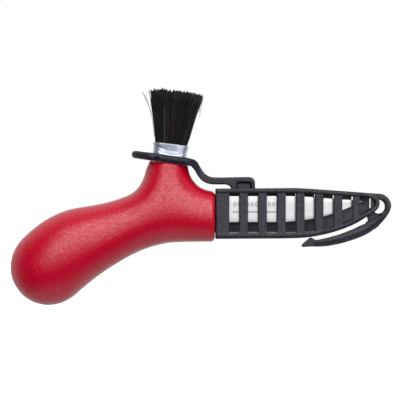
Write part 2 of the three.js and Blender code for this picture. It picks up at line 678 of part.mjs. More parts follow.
const knife = new THREE.Group();
addPiece(knife, 'handle', makeHandle(), red);
addPiece(knife, 'blade', makeBlade(), steel);
addPiece(knife, 'brush_ferrule', makeFerrule(), tin);
addPiece(knife, 'brush_peg', brushFill(PEG_HEIGHTS), wood);
addPiece(knife, 'bristle_setting', brushFill(SETTING_HEIGHTS), resin);
addPiece(knife, 'bristle_tuft', makeTuft(), hair);

const sheath = new THREE.Group();
addPiece(sheath, 'sheath_body', makeSheath(), black);
addPiece(sheath, 'retaining_strap', makeStrap(), black);
addPiece(sheath, 'belt_clip', makeClip(), black);

const root = new THREE.Group();
root.position.set(-BOX_CENTRE.x, 0, -BOX_CENTRE.z);
root.add(knife, sheath);

export default root;
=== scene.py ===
# A forager's mushroom knife in its slotted sheath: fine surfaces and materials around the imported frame.
import json
import math

import bpy
import numpy as np
from mathutils import Matrix, Vector


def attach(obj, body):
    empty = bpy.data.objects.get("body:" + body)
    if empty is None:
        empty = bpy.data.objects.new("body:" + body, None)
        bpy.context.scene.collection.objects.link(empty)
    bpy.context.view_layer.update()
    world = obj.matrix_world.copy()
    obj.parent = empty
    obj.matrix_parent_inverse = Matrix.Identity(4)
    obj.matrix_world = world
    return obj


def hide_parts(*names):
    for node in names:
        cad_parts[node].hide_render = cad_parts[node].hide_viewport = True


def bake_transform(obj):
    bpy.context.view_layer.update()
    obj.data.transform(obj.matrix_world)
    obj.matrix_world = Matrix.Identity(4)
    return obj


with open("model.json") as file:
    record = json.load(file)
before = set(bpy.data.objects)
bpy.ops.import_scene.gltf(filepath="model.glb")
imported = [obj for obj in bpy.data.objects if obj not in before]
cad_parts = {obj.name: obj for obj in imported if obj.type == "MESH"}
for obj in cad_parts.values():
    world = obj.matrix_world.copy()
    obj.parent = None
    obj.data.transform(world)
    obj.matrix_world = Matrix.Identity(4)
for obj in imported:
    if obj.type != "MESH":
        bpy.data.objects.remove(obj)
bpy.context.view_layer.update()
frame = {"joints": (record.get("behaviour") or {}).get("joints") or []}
MM = 0.001
rng = np.random.default_rng(20417)
# Outlines are drawn from the middle of the handle's front end, where the strap's hinge is at (7.6, 16.62) mm.
hinge = next(j for j in frame["joints"] if j["name"] == "strap_lift")["pos_m"]
SHIFT = np.array([hinge[0] - 0.0076, 0.0, hinge[2] - 0.01662])  # metres, from that point to the row's origin

# ------------------------------------------------------------------ outlines in X and Z, mm
HANDLE_OUTLINE = [
    [22.1, 12.1], [9.3, 11.95], [-0.2, 11.8], [-3.6, 12.2], [-6.9, 13.45], [-9.6, 15.7], [-11.5, 18.3], [-12.6, 21.15], [-13.05, 24.2],
    [-12.3, 32.3], [-10.7, 44.2], [-27.3, 46.1], [-28.7, 36.1], [-31.15, 26.5], [-32.75, 22.8], [-33.65, 19.6], [-35.0, 16.3], [-37.2, 12.95],
    [-40.2, 10.5], [-43.9, 8.85], [-48.7, 7.25], [-54.4, 5.8], [-60.1, 4.75], [-65.8, 3.85], [-71.5, 2.42], [-77.2, 0.0], [-82.9, -3.35],
    [-88.6, -7.9], [-93.1, -12.5], [-96.1, -17.8], [-97.3, -23.4], [-96.7, -29.2], [-94.3, -34.2], [-90.5, -38.45], [-85.5, -41.2],
    [-80.0, -42.3], [-74.1, -41.55], [-68.75, -39.05], [-62.4, -33.8], [-56.75, -29.25], [-51.05, -25.2], [-45.4, -21.7], [-39.75, -18.5],
    [-34.15, -15.9], [-28.6, -14.1], [-22.05, -12.72], [-14.5, -12.32], [-5.95, -12.17], [4.5, -12.1], [22.1, -12.1],
]
SHEATH_OUTER = [
    [-6, 12.98], [0, 13.02], [14, 13.12], [28.97, 13.21], [38.66, 13.25], [42.94, 13.03], [53.25, 12.32], [65.31, 11.45], [72.44, 10.78], [75.38, 9.85],
    [77.0, 8.27], [77.57, 6.27], [77.09, 4.18], [75.48, 2.28], [71.87, -0.09], [67.64, -2.8], [63.36, -4.89], [59.14, -6.51], [53.25, -8.27],
    [45.36, -9.88], [40.14, -10.36], [35.06, -10.58], [18, -10.72], [0, -10.85], [-6, -10.9],
]
SHEATH_INNER = [
    [-8, 10.86], [0, 10.9], [14, 10.93], [28.97, 10.97], [38.66, 11.02], [42.94, 10.78], [53.25, 10.07], [65.31, 9.31], [71.49, 8.88], [73.96, 8.27],
    [75.24, 7.12], [75.57, 5.79], [74.72, 4.47], [72.67, 2.94], [68.88, 0.62], [65.5, -1.38], [61.51, -3.28], [57.71, -4.75], [52.01, -6.32],
    [44.89, -7.69], [39.66, -8.07], [34.44, -8.17], [18, -8.2], [0, -8.22], [-8, -8.23],
]
LOOP_OUTER = [
    [70, 9.3], [71.5, 10.75], [75.76, 10.68], [78.38, 10.55], [80.1, 9.98], [81.6, 8.8], [82.7, 7.12], [83.3, 5.08], [82.9, 3.1], [81.95, 1.1],
    [80.35, -1.25], [78.3, -3.6], [76.5, -5.3], [75.3, -6.2], [71.5, -3.6], [73.0, 0.5], [72, 4],
]
LOOP_HOLE = [[77.3, 7.65], [78.9, 7.25], [80.1, 6.1], [80.5, 4.51], [80.15, 2.85], [78.99, 1.6], [77.47, 1.1], [76.0, 1.5], [75.3, 2.35], [76.75, 4.2], [77.2, 6.2]]
WEB = [[72.0, 1.5], [76.2, 3.0], [78.5, 1.6], [79.5, -0.5], [76.6, -2.4], [74.3, -3.3], [70.2, -4.9], [71.3, -3.78], [71.9, -3.2], [72.25, -2.4], [72.3, -1.5], [72.05, -0.8], [71.7, -0.3]]
CLIP = [
    [77.6, -4.8], [75.9, -2.9], [73.4, -3.0], [71.9, -3.35], [69.75, -4.15], [65.5, -6.2], [59.15, -8.7], [53.25, -10.35], [50.45, -10.98], [49.0, -11.25], [47.6, -11.35],
    [46.7, -10.95], [45.9, -10.45], [45.1, -10.15], [41.35, -13.3], [40.75, -14.05], [41.3, -14.75], [42.95, -14.6], [45.35, -14.45], [48.95, -14.6],
    [53.25, -14.25], [59.25, -13.1], [65.5, -11.2], [69.75, -9.6], [72.8, -8.0], [75.3, -6.2], [76.5, -5.3],
]
WEB_ZONE = [[73.4, -2.6], [78.9, 0.5], [77.5, 0.9], [76.2, 1.3], [75.6, 2.2], [75.0, 2.6], [72.9, 0.4], [71.5, -0.9], [71.8, -2.9]]
STRAP = [
    [-13.2, 27.35], [-12.1, 27.2], [-10.3, 26.8], [-9.1, 26.1], [-8.3, 25.2], [-7.9, 24.4], [-7.2, 23.2], [-6.5, 21.95], [-5.75, 20.85],
    [-4.7, 19.75], [-3.4, 18.95], [-2.0, 18.5], [-0.5, 18.3], [4.0, 18.28], [9.62, 18.42], [16.0, 18.5], [17.3, 18.2], [18.25, 17.35], [18.7, 16.1],
    [18.75, 12.2], [7.75, 12.2], [7.4, 13.35], [6.75, 14.2], [5.8, 14.75], [4.6, 14.96], [2.0, 14.96], [-0.6, 14.97], [-2.4, 15.1], [-4.2, 15.55], [-5.7, 16.3], [-7.0, 17.35],
    [-8.0, 18.55], [-8.9, 19.9], [-9.6, 21.2], [-10.3, 22.3], [-11.1, 23.05], [-12.4, 23.65], [-14.2, 24.1], [-14.6, 27.4],
]
RECESS = [[9.75, 11.4], [9.75, 15.4], [10.3, 16.15], [11.2, 16.3], [15.8, 16.3], [16.7, 16.15], [17.15, 15.4], [17.15, 11.4]]
BLADE_TOP = [[-0.3, 9.55], [35.4, 9.59], [42.1, 9.36], [46.7, 8.98], [51.1, 8.6], [55.7, 8.31], [60.1, 7.98], [64.55, 7.65], [67.7, 7.4], [69.9, 7.2]]
BLADE_BOTTOM = [[-0.3, -2.94], [28.3, -2.94], [33.5, -2.76], [37.8, -2.33], [42.1, -1.85], [46.7, -1.1], [51.1, -0.1], [55.7, 1.15], [60.1, 2.7], [64.55, 4.5], [67.7, 6.0], [69.9, 7.0]]
FERRULE = [[-6.6, -0.1, 7.0, 4.75], [0, -0.1, 7.32, 4.88], [3.8, -0.08, 7.95, 5.0], [6.0, -0.14, 8.12, 5.04], [8.1, -0.2, 8.2, 5.08]]
TUFT = [
    [4.1, -0.15, 6.7, 4.15], [8.6, -0.12, 7.6, 4.6], [9.4, -0.1, 7.92, 4.75], [12.5, -0.2, 8.4, 5.0], [15.5, -0.32, 8.98, 5.3], [18.3, -0.5, 9.5, 5.55],
    [21.2, -0.6, 10.05, 5.8], [24, -0.9, 10.6, 6.05], [27, -1.1, 11.2, 6.3], [30, -1.05, 11.75, 6.5], [33, -0.95, 12.45, 6.7], [36, -0.8, 12.9, 6.9],
]
HANDLE_FRONT_X = -0.35
STRAP_SPREAD = ([-14.6, -13.4, -12.0, -10.5, -9.0, -7.6, -6.6], [4.3, 4.1, 3.5, 2.5, 1.3, 0.4, 0.0])  # extra half width where the strap runs into the ring
NECK_X, NECK_Z, TILT = -22.25, 25.0, math.radians(8)
THICK_FRONT, THICK_GROWTH, THICK_SPAN = 0.8, 0.24, 80
HALF_Y, WALL_OUT, WALL_IN = 5.5, 5.1, 3.4
MOUTH_X0, MOUTH_X1 = -0.05, 6.5
BAR_PITCH, BAR_X0, BAR_W, BARS = 8.92, 11.58, 3.75, 7
BACK_BAR_W, BACK_BAR_OFFSET, BACK_FRAME_X = 5.4, -5.56, 74.05
BACK_SILL = [[0, -2.5], [28.3, -2.5], [33.5, -2.3], [37.8, -1.9], [42.1, -1.4], [46.7, -0.6], [51.1, 0.4], [55.7, 1.6], [60.1, 3.1], [64.55, 4.7], [67.7, 5.4], [70, 4.9], [70.3, -20]]
STRAP_HALF_Y, CLIP_HALF_Y, LOOP_HALF_Y, WEB_HALF_Y = 4.5, 3.2, 3.2, 1.5
RING = dict(left=-18, right=9.6, half_y=9.6, hole_left=-12.3, hole_right=8.75, hole_half_y=5.9, w0=0.2, w1=3.7)


# ------------------------------------------------------------------ outline tools
def smooth_closed(points, n):
    """Centripetal Catmull-Rom through the points."""
    p = np.array(points, float)
    m = len(p)
    out = []
    per = max(2, n // m)
    for i in range(m):
        a, b, c, d = p[(i - 1) % m], p[i], p[(i + 1) % m], p[(i + 2) % m]
        t0 = 0.0
        t1 = t0 + max(np.linalg.norm(b - a), 1e-9) ** 0.5
        t2 = t1 + max(np.linalg.norm(c - b), 1e-9) ** 0.5
        t3 = t2 + max(np.linalg.norm(d - c), 1e-9) ** 0.5
        t = np.linspace(t1, t2, per, endpoint=False)[:, None]
        a1 = (t1 - t) / (t1 - t0) * a + (t - t0) / (t1 - t0) * b
        a2 = (t2 - t) / (t2 - t1) * b + (t - t1) / (t2 - t1) * c
        a3 = (t3 - t) / (t3 - t2) * c + (t - t2) / (t3 - t2) * d
        b1 = (t2 - t) / (t2 - t0) * a1 + (t - t0) / (t2 - t0) * a2
        b2 = (t3 - t) / (t3 - t1) * a2 + (t - t1) / (t3 - t1) * a3
        out.append((t2 - t) / (t2 - t1) * b1 + (t - t1) / (t2 - t1) * b2)
    return np.concatenate(out)


def ease_corners(points, reach, steps=5):
    """Each corner becomes a small curve that starts `reach` before it."""
    p = np.array(points, float)
    m = len(p)
    out = []
    for i in range(m):
        a, b, c = p[(i - 1) % m], p[i], p[(i + 1) % m]
        la, lc = np.linalg.norm(a - b), np.linalg.norm(c - b)
        t = min(reach, 0.48 * la, 0.48 * lc)
        s, e = b + (a - b) / la * t, b + (c - b) / lc * t
        for q in np.linspace(0, 1, steps):
            out.append((1 - q) ** 2 * s + 2 * q * (1 - q) * b + q * q * e)
    return np.array(out)


def poly_sdf(points, X, Z):
    """Signed distance to a closed outline, negative inside."""
    p = np.asarray(points, float)
    best = np.full(X.shape, 1e9)
    inside = np.zeros(X.shape, bool)
    for (ax, az), (bx, bz) in zip(p, np.roll(p, -1, 0)):
        ex, ez = bx - ax, bz - az
        ll = ex * ex + ez * ez
        if ll < 1e-12:
            continue
        t = np.clip(((X - ax) * ex + (Z - az) * ez) / ll, 0, 1)
        best = np.minimum(best, (X - ax - t * ex) ** 2 + (Z - az - t * ez) ** 2)
        if az != bz:
            inside ^= ((az > Z) != (bz > Z)) & (X < (bx - ax) * (Z - az) / (bz - az) + ax)
    best = np.sqrt(best)
    return np.where(inside, -best, best)


def line_distance(points, X, Z):
    p = np.asarray(points, float)
    best = np.full(X.shape, 1e9)
    for (ax, az), (bx, bz) in zip(p[:-1], p[1:]):
        ex, ez = bx - ax, bz - az
        t = np.clip(((X - ax) * ex + (Z - az) * ez) / (ex * ex + ez * ez), 0, 1)
        best = np.minimum(best, np.hypot(X - ax - t * ex, Z - az - t * ez))
    return best


# ------------------------------------------------------------------ solid tools: fields are negative inside, mm
def extrude(d2, y, half, r):
    """An outline field extruded to |y| <= half with rounded edges."""
    q1 = d2 + r
    q2 = np.abs(y) - half + r
    return np.sqrt(np.maximum(q1, 0) ** 2 + np.maximum(q2, 0) ** 2) + np.minimum(np.maximum(q1, q2), 0) - r


def join(a, b, r=0.0):
    """Union with a fillet of about r."""
    if r <= 0:
        return np.minimum(a, b)
    h = np.maximum(r - np.abs(a - b), 0) / r
    return np.minimum(a, b) - h * h * r * 0.25


def meet(a, b, r=0.0):
    """Intersection with rounded edges of radius r."""
    if r <= 0:
        return np.maximum(a, b)
    u, v = np.maximum(r + a, 0), np.maximum(r + b, 0)
    return np.minimum(-r, np.maximum(a, b)) + np.sqrt(u * u + v * v)


def cut(a, b, r=0.0):
    return meet(a, -b, r)


def box_field(X, Y, Z, x0, x1, y0, y1, z0, z1, r=0.0):
    qx = np.abs(X - (x0 + x1) / 2) - (x1 - x0) / 2 + r
    qy = np.abs(Y - (y0 + y1) / 2) - (y1 - y0) / 2 + r
    qz = np.abs(Z - (z0 + z1) / 2) - (z1 - z0) / 2 + r
    out = np.sqrt(np.maximum(qx, 0) ** 2 + np.maximum(qy, 0) ** 2 + np.maximum(qz, 0) ** 2)
    return out + np.minimum(np.maximum(qx, np.maximum(qy, qz)), 0) - r


def grid(lo, hi, h):
    axes = [np.arange(a, b + h, h) for a, b in zip(lo, hi)]
    return axes, (axes[0][:, None, None], axes[1][None, :, None], axes[2][None, None, :])


def sample(F, p):
    """Trilinear reading of a grid at positions in cell units."""
    q = np.clip(p, 0, np.array(F.shape) - 1.001)
    i = q.astype(np.int64)
    f = (q - i).astype(np.float32)
    out = 0
    for a in (0, 1):
        wa = f[:, 0] if a else 1 - f[:, 0]
        for b in (0, 1):
            wb = f[:, 1] if b else 1 - f[:, 1]
            for c in (0, 1):
                wc = f[:, 2] if c else 1 - f[:, 2]
                out = out + wa * wb * wc * F[i[:, 0] + a, i[:, 1] + b, i[:, 2] + c]
    return out


def surface(F, axes, settle=3):
    """Vertices (mm) and quads of the zero surface of a field, by surface nets, then drawn onto the surface."""
    F = F.astype(np.float32)
    nx, ny, nz = F.shape
    s = F < 0
    total = np.zeros((nx - 1, ny - 1, nz - 1), np.uint8)
    corners = [(a, b, c) for a in (0, 1) for b in (0, 1) for c in (0, 1)]
    for a, b, c in corners:
        total += s[a : nx - 1 + a, b : ny - 1 + b, c : nz - 1 + c]
    active = (total > 0) & (total < 8)
    ijk = np.argwhere(active)
    index = np.full(active.shape, -1, np.int64)
    index[active] = np.arange(len(ijk))
    value = {k: F[ijk[:, 0] + k[0], ijk[:, 1] + k[1], ijk[:, 2] + k[2]] for k in corners}
    acc = np.zeros((len(ijk), 3), np.float32)
    count = np.zeros(len(ijk), np.float32)
    for k in corners:
        for d in range(3):
            if k[d]:
                continue
            m = tuple(v + (1 if i == d else 0) for i, v in enumerate(k))
            fa, fb = value[k], value[m]
            cross = (fa < 0) != (fb < 0)
            t = np.where(cross, fa / np.where(cross, fa - fb, 1), 0)
            pos = np.tile(np.array(k, np.float32), (len(ijk), 1))
            pos[:, d] += t
            acc += np.where(cross[:, None], pos, 0)
            count += cross
    p = ijk + acc / count[:, None]
    start = p.copy()
    for _ in range(settle):
        f = sample(F, p)
        g = np.stack([sample(F, p + e) - sample(F, p - e) for e in np.eye(3) * 0.6], 1) / 1.2
        n2 = np.maximum((g * g).sum(1), 1e-9)
        step = -(f / n2)[:, None] * g
        size = np.linalg.norm(step, axis=1, keepdims=True)
        p = p + step * np.minimum(1, 0.4 / np.maximum(size, 1e-9))
        p = start + np.clip(p - start, -0.7, 0.7)
    quads = []
    inner = lambda a, d: a[tuple(slice(0, -1) if i == d else slice(1, -1) for i in range(3))]
    after = lambda a, d: a[tuple(slice(1, None) if i == d else slice(1, -1) for i in range(3))]
    ring = {0: [(0, -1, -1), (0, 0, -1), (0, 0, 0), (0, -1, 0)], 1: [(-1, 0, -1), (-1, 0, 0), (0, 0, 0), (0, 0, -1)], 2: [(-1, -1, 0), (0, -1, 0), (0, 0, 0), (-1, 0, 0)]}
    for d in range(3):
        change = inner(s, d) != after(s, d)
        at = np.argwhere(change)
        offset = np.array([0 if i == d else 1 for i in range(3)])
        at = at + offset
        q = np.stack([index[at[:, 0] + o[0], at[:, 1] + o[1], at[:, 2] + o[2]] for o in ring[d]], 1)
        flip = ~s[at[:, 0], at[:, 1], at[:, 2]]
        q[flip] = q[flip][:, ::-1]
        quads.append(q)
    h = np.array([a[1] - a[0] for a in axes])
    return np.array([a[0] for a in axes]) + p * h, np.concatenate(quads)


# ------------------------------------------------------------------ Blender meshes
def new_object(name, verts_mm, faces, material, smooth=True):
    """faces is one array, or a list of arrays of equal-sided faces."""
    faces = faces if isinstance(faces, list) else [faces]
    me = bpy.data.meshes.new(name)
    v = np.asarray(verts_mm, np.float64) * MM + SHIFT
    me.vertices.add(len(v))
    me.vertices.foreach_set("co", v.astype(np.float32).ravel())
    loops = np.concatenate([f.ravel() for f in faces])
    totals = np.concatenate([np.full(len(f), f.shape[1]) for f in faces])
    starts = np.concatenate([[0], np.cumsum(totals)[:-1]])
    me.loops.add(len(loops))
    me.loops.foreach_set("vertex_index", loops.astype(np.int32))
    me.polygons.add(len(totals))
    me.polygons.foreach_set("loop_start", starts.astype(np.int32))
    me.polygons.foreach_set("loop_total", totals.astype(np.int32))
    me.polygons.foreach_set("use_smooth", np.full(len(totals), smooth))
    me.update(calc_edges=True)
    me.validate()
    me.materials.append(material)
    o = bpy.data.objects.new(name, me)
    bpy.context.scene.collection.objects.link(o)
    return o


def brush_to_row(p):
    """Points (u, y, w) of the brush's own frame to X, Y, Z in mm."""
    p = np.asarray(p, float)
    c, s = math.cos(TILT), math.sin(TILT)
    u, y, w = p[..., 0], p[..., 1], p[..., 2]
    return np.stack([NECK_X + u * c + w * s, y, NECK_Z - u * s + w * c], -1)


def brush_coords(X, Z):
    c, s = math.cos(TILT), math.sin(TILT)
    return (X - NECK_X) * c - (Z - NECK_Z) * s, (X - NECK_X) * s + (Z - NECK_Z) * c


def rows_at(rows, w):
    """The brush rows (middle, half width, half depth) read at heights w."""
    r = np.array(rows, float)
    return [np.interp(w, r[:, 0], r[:, k]) for k in (1, 2, 3)]


# ------------------------------------------------------------------ materials
class Nodes:
    """A small helper around a material's node tree."""

    def __init__(self, name):
        self.mat = bpy.data.materials.new(name)
        self.mat.use_nodes = True
        self.t = self.mat.node_tree
        self.t.nodes.clear()
        self.out = self.t.nodes.new("ShaderNodeOutputMaterial")
        self.bsdf = self.t.nodes.new("ShaderNodeBsdfPrincipled")
        self.t.links.new(self.bsdf.outputs[0], self.out.inputs[0])
        place = self.t.nodes.new("ShaderNodeVectorMath")
        place.operation = "SUBTRACT"
        place.inputs[1].default_value = SHIFT
        self.t.links.new(self.t.nodes.new("ShaderNodeTexCoord").outputs["Object"], place.inputs[0])
        self.coord = place.outputs[0]

    def link(self, a, b):
        self.t.links.new(a, b)

    def put(self, socket, value):
        if hasattr(value, "is_output"):
            self.link(value, socket)
        else:
            socket.default_value = value

    def math(self, op, a, b=0.0, c=None, clamp=False):
        n = self.t.nodes.new("ShaderNodeMath")
        n.operation = op
        n.use_clamp = clamp
        self.put(n.inputs[0], a)
        self.put(n.inputs[1], b)
        if c is not None:
            self.put(n.inputs[2], c)
        return n.outputs[0]

    def noise(self, scale, detail=3.0, rough=0.55, stretch=None, vector=None, distortion=0.0):
        v = vector or self.coord
        if stretch:
            m = self.t.nodes.new("ShaderNodeMapping")
            m.inputs["Scale"].default_value = stretch
            self.link(v, m.inputs["Vector"])
            v = m.outputs[0]
        n = self.t.nodes.new("ShaderNodeTexNoise")
        n.inputs["Scale"].default_value = scale
        n.inputs["Detail"].default_value = detail
        n.inputs["Roughness"].default_value = rough
        n.inputs["Distortion"].default_value = distortion
        self.link(v, n.inputs["Vector"])
        return n.outputs["Fac"]

    def voronoi(self, scale, feature="F1", vector=None):
        n = self.t.nodes.new("ShaderNodeTexVoronoi")
        n.feature = feature
        n.inputs["Scale"].default_value = scale
        self.link(vector or self.coord, n.inputs["Vector"])
        return n.outputs["Distance"]

    def ramp(self, fac, lo, hi, a=0.0, b=1.0):
        n = self.t.nodes.new("ShaderNodeMapRange")
        n.inputs["From Min"].default_value = lo
        n.inputs["From Max"].default_value = hi
        n.inputs["To Min"].default_value = a
        n.inputs["To Max"].default_value = b
        self.put(n.inputs["Value"], fac)
        return n.outputs[0]

    def mix(self, fac, a, b, blend="MIX"):
        n = self.t.nodes.new("ShaderNodeMix")
        n.data_type = "RGBA"
        n.blend_type = blend
        self.put(n.inputs[0], fac)
        for s, v in ((n.inputs[6], a), (n.inputs[7], b)):
            self.put(s, v if hasattr(v, "is_output") else (*v, 1.0))
        return n.outputs[2]

    def bump(self, height, strength, distance, normal=None):
        n = self.t.nodes.new("ShaderNodeBump")
        n.inputs["Strength"].default_value = strength
        n.inputs["Distance"].default_value = distance
        self.link(height, n.inputs["Height"])
        if normal is not None:
            self.link(normal, n.inputs["Normal"])
        return n.outputs[0]

    def xyz(self, vector=None):
        n = self.t.nodes.new("ShaderNodeSeparateXYZ")
        self.link(vector or self.coord, n.inputs[0])
        return n.outputs[0], n.outputs[1], n.outputs[2]

    def pointiness(self):
        return self.t.nodes.new("ShaderNodeNewGeometry").outputs["Pointiness"]

    def shade(self, **values):
        names = {
            "color": "Base Color", "rough": "Roughness", "metal": "Metallic", "normal": "Normal", "spec": "Specular IOR Level", "ior": "IOR",
            "coat": "Coat Weight", "coat_rough": "Coat Roughness", "sheen": "Sheen Weight", "sheen_rough": "Sheen Roughness",
            "aniso": "Anisotropic", "tangent": "Tangent", "emit": "Emission Strength", "emit_color": "Emission Color",
        }
        for k, v in values.items():
            s = self.bsdf.inputs[names[k]]
            if k in ("color", "emit_color") and not hasattr(v, "is_output"):
                v = (*v, 1.0)
            self.put(s, v)
        return self.mat


def red_plastic():
    n = Nodes("handle_red_moulded")
    drift = n.noise(28, 2)
    mottle = n.noise(1250, 3, 0.8)
    speck = n.noise(1150, 1, 0.4)
    pepper = n.noise(1500, 1, 0.4)
    color = n.mix(n.ramp(drift, 0.35, 0.65), (0.412, 0.0004, 0.0155), (0.437, 0.0004, 0.0185))
    color = n.mix(n.ramp(mottle, 0.35, 0.68, 0.0, 0.6), color, (0.52, 0.0018, 0.029))
    color = n.mix(n.ramp(pepper, 0.36, 0.64, 0.0, 0.46), color, (0.285, 0.0002, 0.008))
    edge = n.ramp(n.pointiness(), 0.52, 0.60, 0.0, 0.2)
    color = n.mix(edge, color, (0.46, 0.01, 0.04))
    grain = n.noise(1150, 2, 0.7)
    coarse = n.noise(560, 2, 0.5)
    normal = n.bump(coarse, 0.35, 0.00008)
    normal = n.bump(grain, 1.0, 0.00014, normal)
    rough = n.ramp(mottle, 0.25, 0.75, 0.20, 0.33)
    # painted shade: the reflection is painted weaker towards the top of the neck, under the ring
    z = n.xyz()[2]
    spec = n.math("MULTIPLY", n.ramp(speck, 0.34, 0.66, 0.70, 0.29), n.ramp(z, 0.012, 0.022, 1.0, 0.82))
    return n.shade(color=color, rough=rough, spec=spec, normal=normal)


def black_plastic(name, smooth=False, deep=False):
    n = Nodes(name)
    drift = n.noise(90, 3)
    base = n.mix(n.ramp(drift, 0.35, 0.65), (0.0035, 0.0031, 0.0092), (0.0055, 0.0050, 0.0130))
    speck = n.noise(1600, 3, 0.75)
    color = n.mix(n.ramp(speck, 0.45, 0.70, 0.0, 0.8), base, (0.030, 0.029, 0.043))
    edge = n.ramp(n.pointiness(), 0.53, 0.64, 0.0, 0.45)
    color = n.mix(edge, color, (0.034, 0.034, 0.050))
    level = n.ramp(n.noise(1900, 1, 0.5), 0.34, 0.66, 0.25, 0.52 if smooth else 0.64)
    if deep:  # painted light and shade inside the windows: the inner faces painted lighter, lighter still towards the tip, with painted dark and light marks and a duller reflection
        x, y, _ = n.xyz()
        within = n.ramp(n.math("ABSOLUTE", y), 0.0043, 0.0048, 1.0, 0.0)
        far = n.math("MULTIPLY", within, n.ramp(y, 0.0018, 0.0026, 0.0, 1.0))
        inside = n.math("MULTIPLY", within, n.ramp(x, 0.036, 0.060, 1.0, 0.0))
        facing = n.ramp(n.math("ABSOLUTE", n.xyz(n.t.nodes.new("ShaderNodeNewGeometry").outputs["Normal"])[1]), 0.45, 0.75)
        # painted light: the inner faces, which lie in the bars' shade, are painted lighter
        color = n.mix(inside, color, (0.0335, 0.0300, 0.0345))
        # painted light: the back inner faces painted lighter still towards the tip
        color = n.mix(n.math("MULTIPLY", n.math("MULTIPLY", far, facing), n.ramp(x, 0.044, 0.060, 0.0, 1.0)), color, (0.078, 0.076, 0.092))
        # painted shade: a dark line on the back wall just behind the last front bar
        color = n.mix(n.math("MULTIPLY", far, n.math("MULTIPLY", n.ramp(x, 0.0678, 0.0679, 0.0, 1.0), n.ramp(x, 0.0684, 0.0690, 1.0, 0.0))), color, (0.012, 0.011, 0.014))
        # painted light on the back frame round the tip, which lies in deep shade
        color = n.mix(n.math("MULTIPLY", far, n.ramp(x, 0.0737, 0.0739, 0.0, 1.0)), color, (0.22, 0.215, 0.24))
        # painted highlight along the upward-facing lower ledge of the windows, fading away from the mouth
        up = n.ramp(n.xyz(n.t.nodes.new("ShaderNodeNewGeometry").outputs["Normal"])[2], 0.55, 0.85)
        sill = n.math("MULTIPLY", n.math("MULTIPLY", up, n.ramp(n.xyz()[2], -0.0064, -0.0060, 1.0, 0.0)), n.math("MULTIPLY", n.math("LESS_THAN", y, -0.0024), n.math("GREATER_THAN", y, -0.0050)))
        color = n.mix(n.math("MULTIPLY", sill, n.ramp(x, 0.028, 0.045, 1.0, 0.25)), color, (0.16, 0.158, 0.175))
        # painted shade: a duller reflection on the inner faces near the mouth
        level = n.math("MULTIPLY", level, n.ramp(n.math("MULTIPLY", inside, facing), 0.0, 1.0, 1.0, 0.45))
    if smooth:  # the ring's reflection is painted stronger at its left end and weaker where it crosses the neck: painted highlight and painted shade
        x = n.xyz()[0]
        level = n.math("MULTIPLY", level, n.math("MAXIMUM", n.ramp(x, -0.030, -0.024, 1.15, 0.62), n.ramp(x, -0.012, -0.006, 0.62, 1.0)))
    spark = n.noise(1500, 4, 0.75)
    pits = n.voronoi(1700)
    normal = n.bump(spark, 0.45 if smooth else 0.7, 0.00008)
    normal = n.bump(pits, 0.2 if smooth else 0.4, 0.00006, normal)
    rough = n.ramp(speck, 0.3, 0.7, 0.38 if smooth else 0.44, 0.54 if smooth else 0.60)
    return n.shade(color=color, rough=rough, spec=level, normal=normal)


def blade_steel():
    n = Nodes("blade_brushed_steel")
    x, y, z = n.xyz()
    lines = n.noise(1.0, 5, 0.75, stretch=(60, 300, 5200))
    fine = n.noise(1.0, 3, 0.8, stretch=(140, 900, 14000))
    cloud = n.noise(60, 3)
    tone = n.mix(n.ramp(lines, 0.3, 0.7), (0.70, 0.695, 0.71), (0.84, 0.835, 0.85))
    tone = n.mix(n.ramp(cloud, 0.35, 0.7, 0.0, 0.4), tone, (0.80, 0.785, 0.78))
    # a generic etched border: a row of small diamonds over a row of short dashes
    def band(lo, hi):
        return n.math("MULTIPLY", n.math("GREATER_THAN", z, lo * MM), n.math("LESS_THAN", z, hi * MM))
    def reach(lo, hi):
        return n.math("MULTIPLY", n.math("GREATER_THAN", x, lo * MM), n.math("LESS_THAN", x, hi * MM))
    px = n.math("ABSOLUTE", n.math("SUBTRACT", n.math("FRACT", n.math("DIVIDE", x, 2.05 * MM)), 0.5))
    pz = n.math("ABSOLUTE", n.math("DIVIDE", n.math("SUBTRACT", z, 5.55 * MM), 2.3 * MM))
    lozenge = n.math("ADD", n.math("MULTIPLY", px, 1.25), pz)
    outline = n.math("MULTIPLY", n.math("LESS_THAN", lozenge, 0.53), n.math("GREATER_THAN", lozenge, 0.30))
    upper = n.math("MULTIPLY", outline, n.math("MULTIPLY", band(4.35, 6.75), reach(8.2, 33.3)))
    dash = n.math("LESS_THAN", n.math("FRACT", n.math("DIVIDE", x, 1.02 * MM)), 0.62)
    lower = n.math("MULTIPLY", dash, n.math("MULTIPLY", band(1.55, 2.35), reach(8.2, 33.3)))
    side = n.math("GREATER_THAN", n.math("ABSOLUTE", y), 0.0002)
    etched = n.math("MULTIPLY", n.math("MAXIMUM", upper, lower), side)
    color = n.mix(n.math("MULTIPLY", etched, 0.8), tone, (0.16, 0.15, 0.155))
    rough = n.math("ADD", n.ramp(lines, 0.25, 0.75, 0.15, 0.24), n.math("MULTIPLY", etched, 0.25))
    normal = n.bump(lines, 0.12, 0.00003)
    normal = n.bump(fine, 0.10, 0.00002, normal)
    return n.shade(color=color, metal=1.0, rough=rough, normal=normal, aniso=0.5)


def tinned():
    n = Nodes("ferrule_tinned_sheet")
    dent = n.noise(150, 2, 0.5)
    cloud = n.noise(420, 3, 0.6)
    scratch = n.noise(1.0, 4, 0.8, stretch=(400, 400, 9000))
    color = n.mix(n.ramp(cloud, 0.35, 0.7), (0.46, 0.495, 0.61), (0.64, 0.675, 0.77))
    normal = n.bump(dent, 0.10, 0.0003)
    normal = n.bump(scratch, 0.04, 0.00002, normal)
    rough = n.ramp(cloud, 0.3, 0.75, 0.20, 0.30)
    return n.shade(color=color, metal=0.70, rough=rough, normal=normal, spec=0.6)


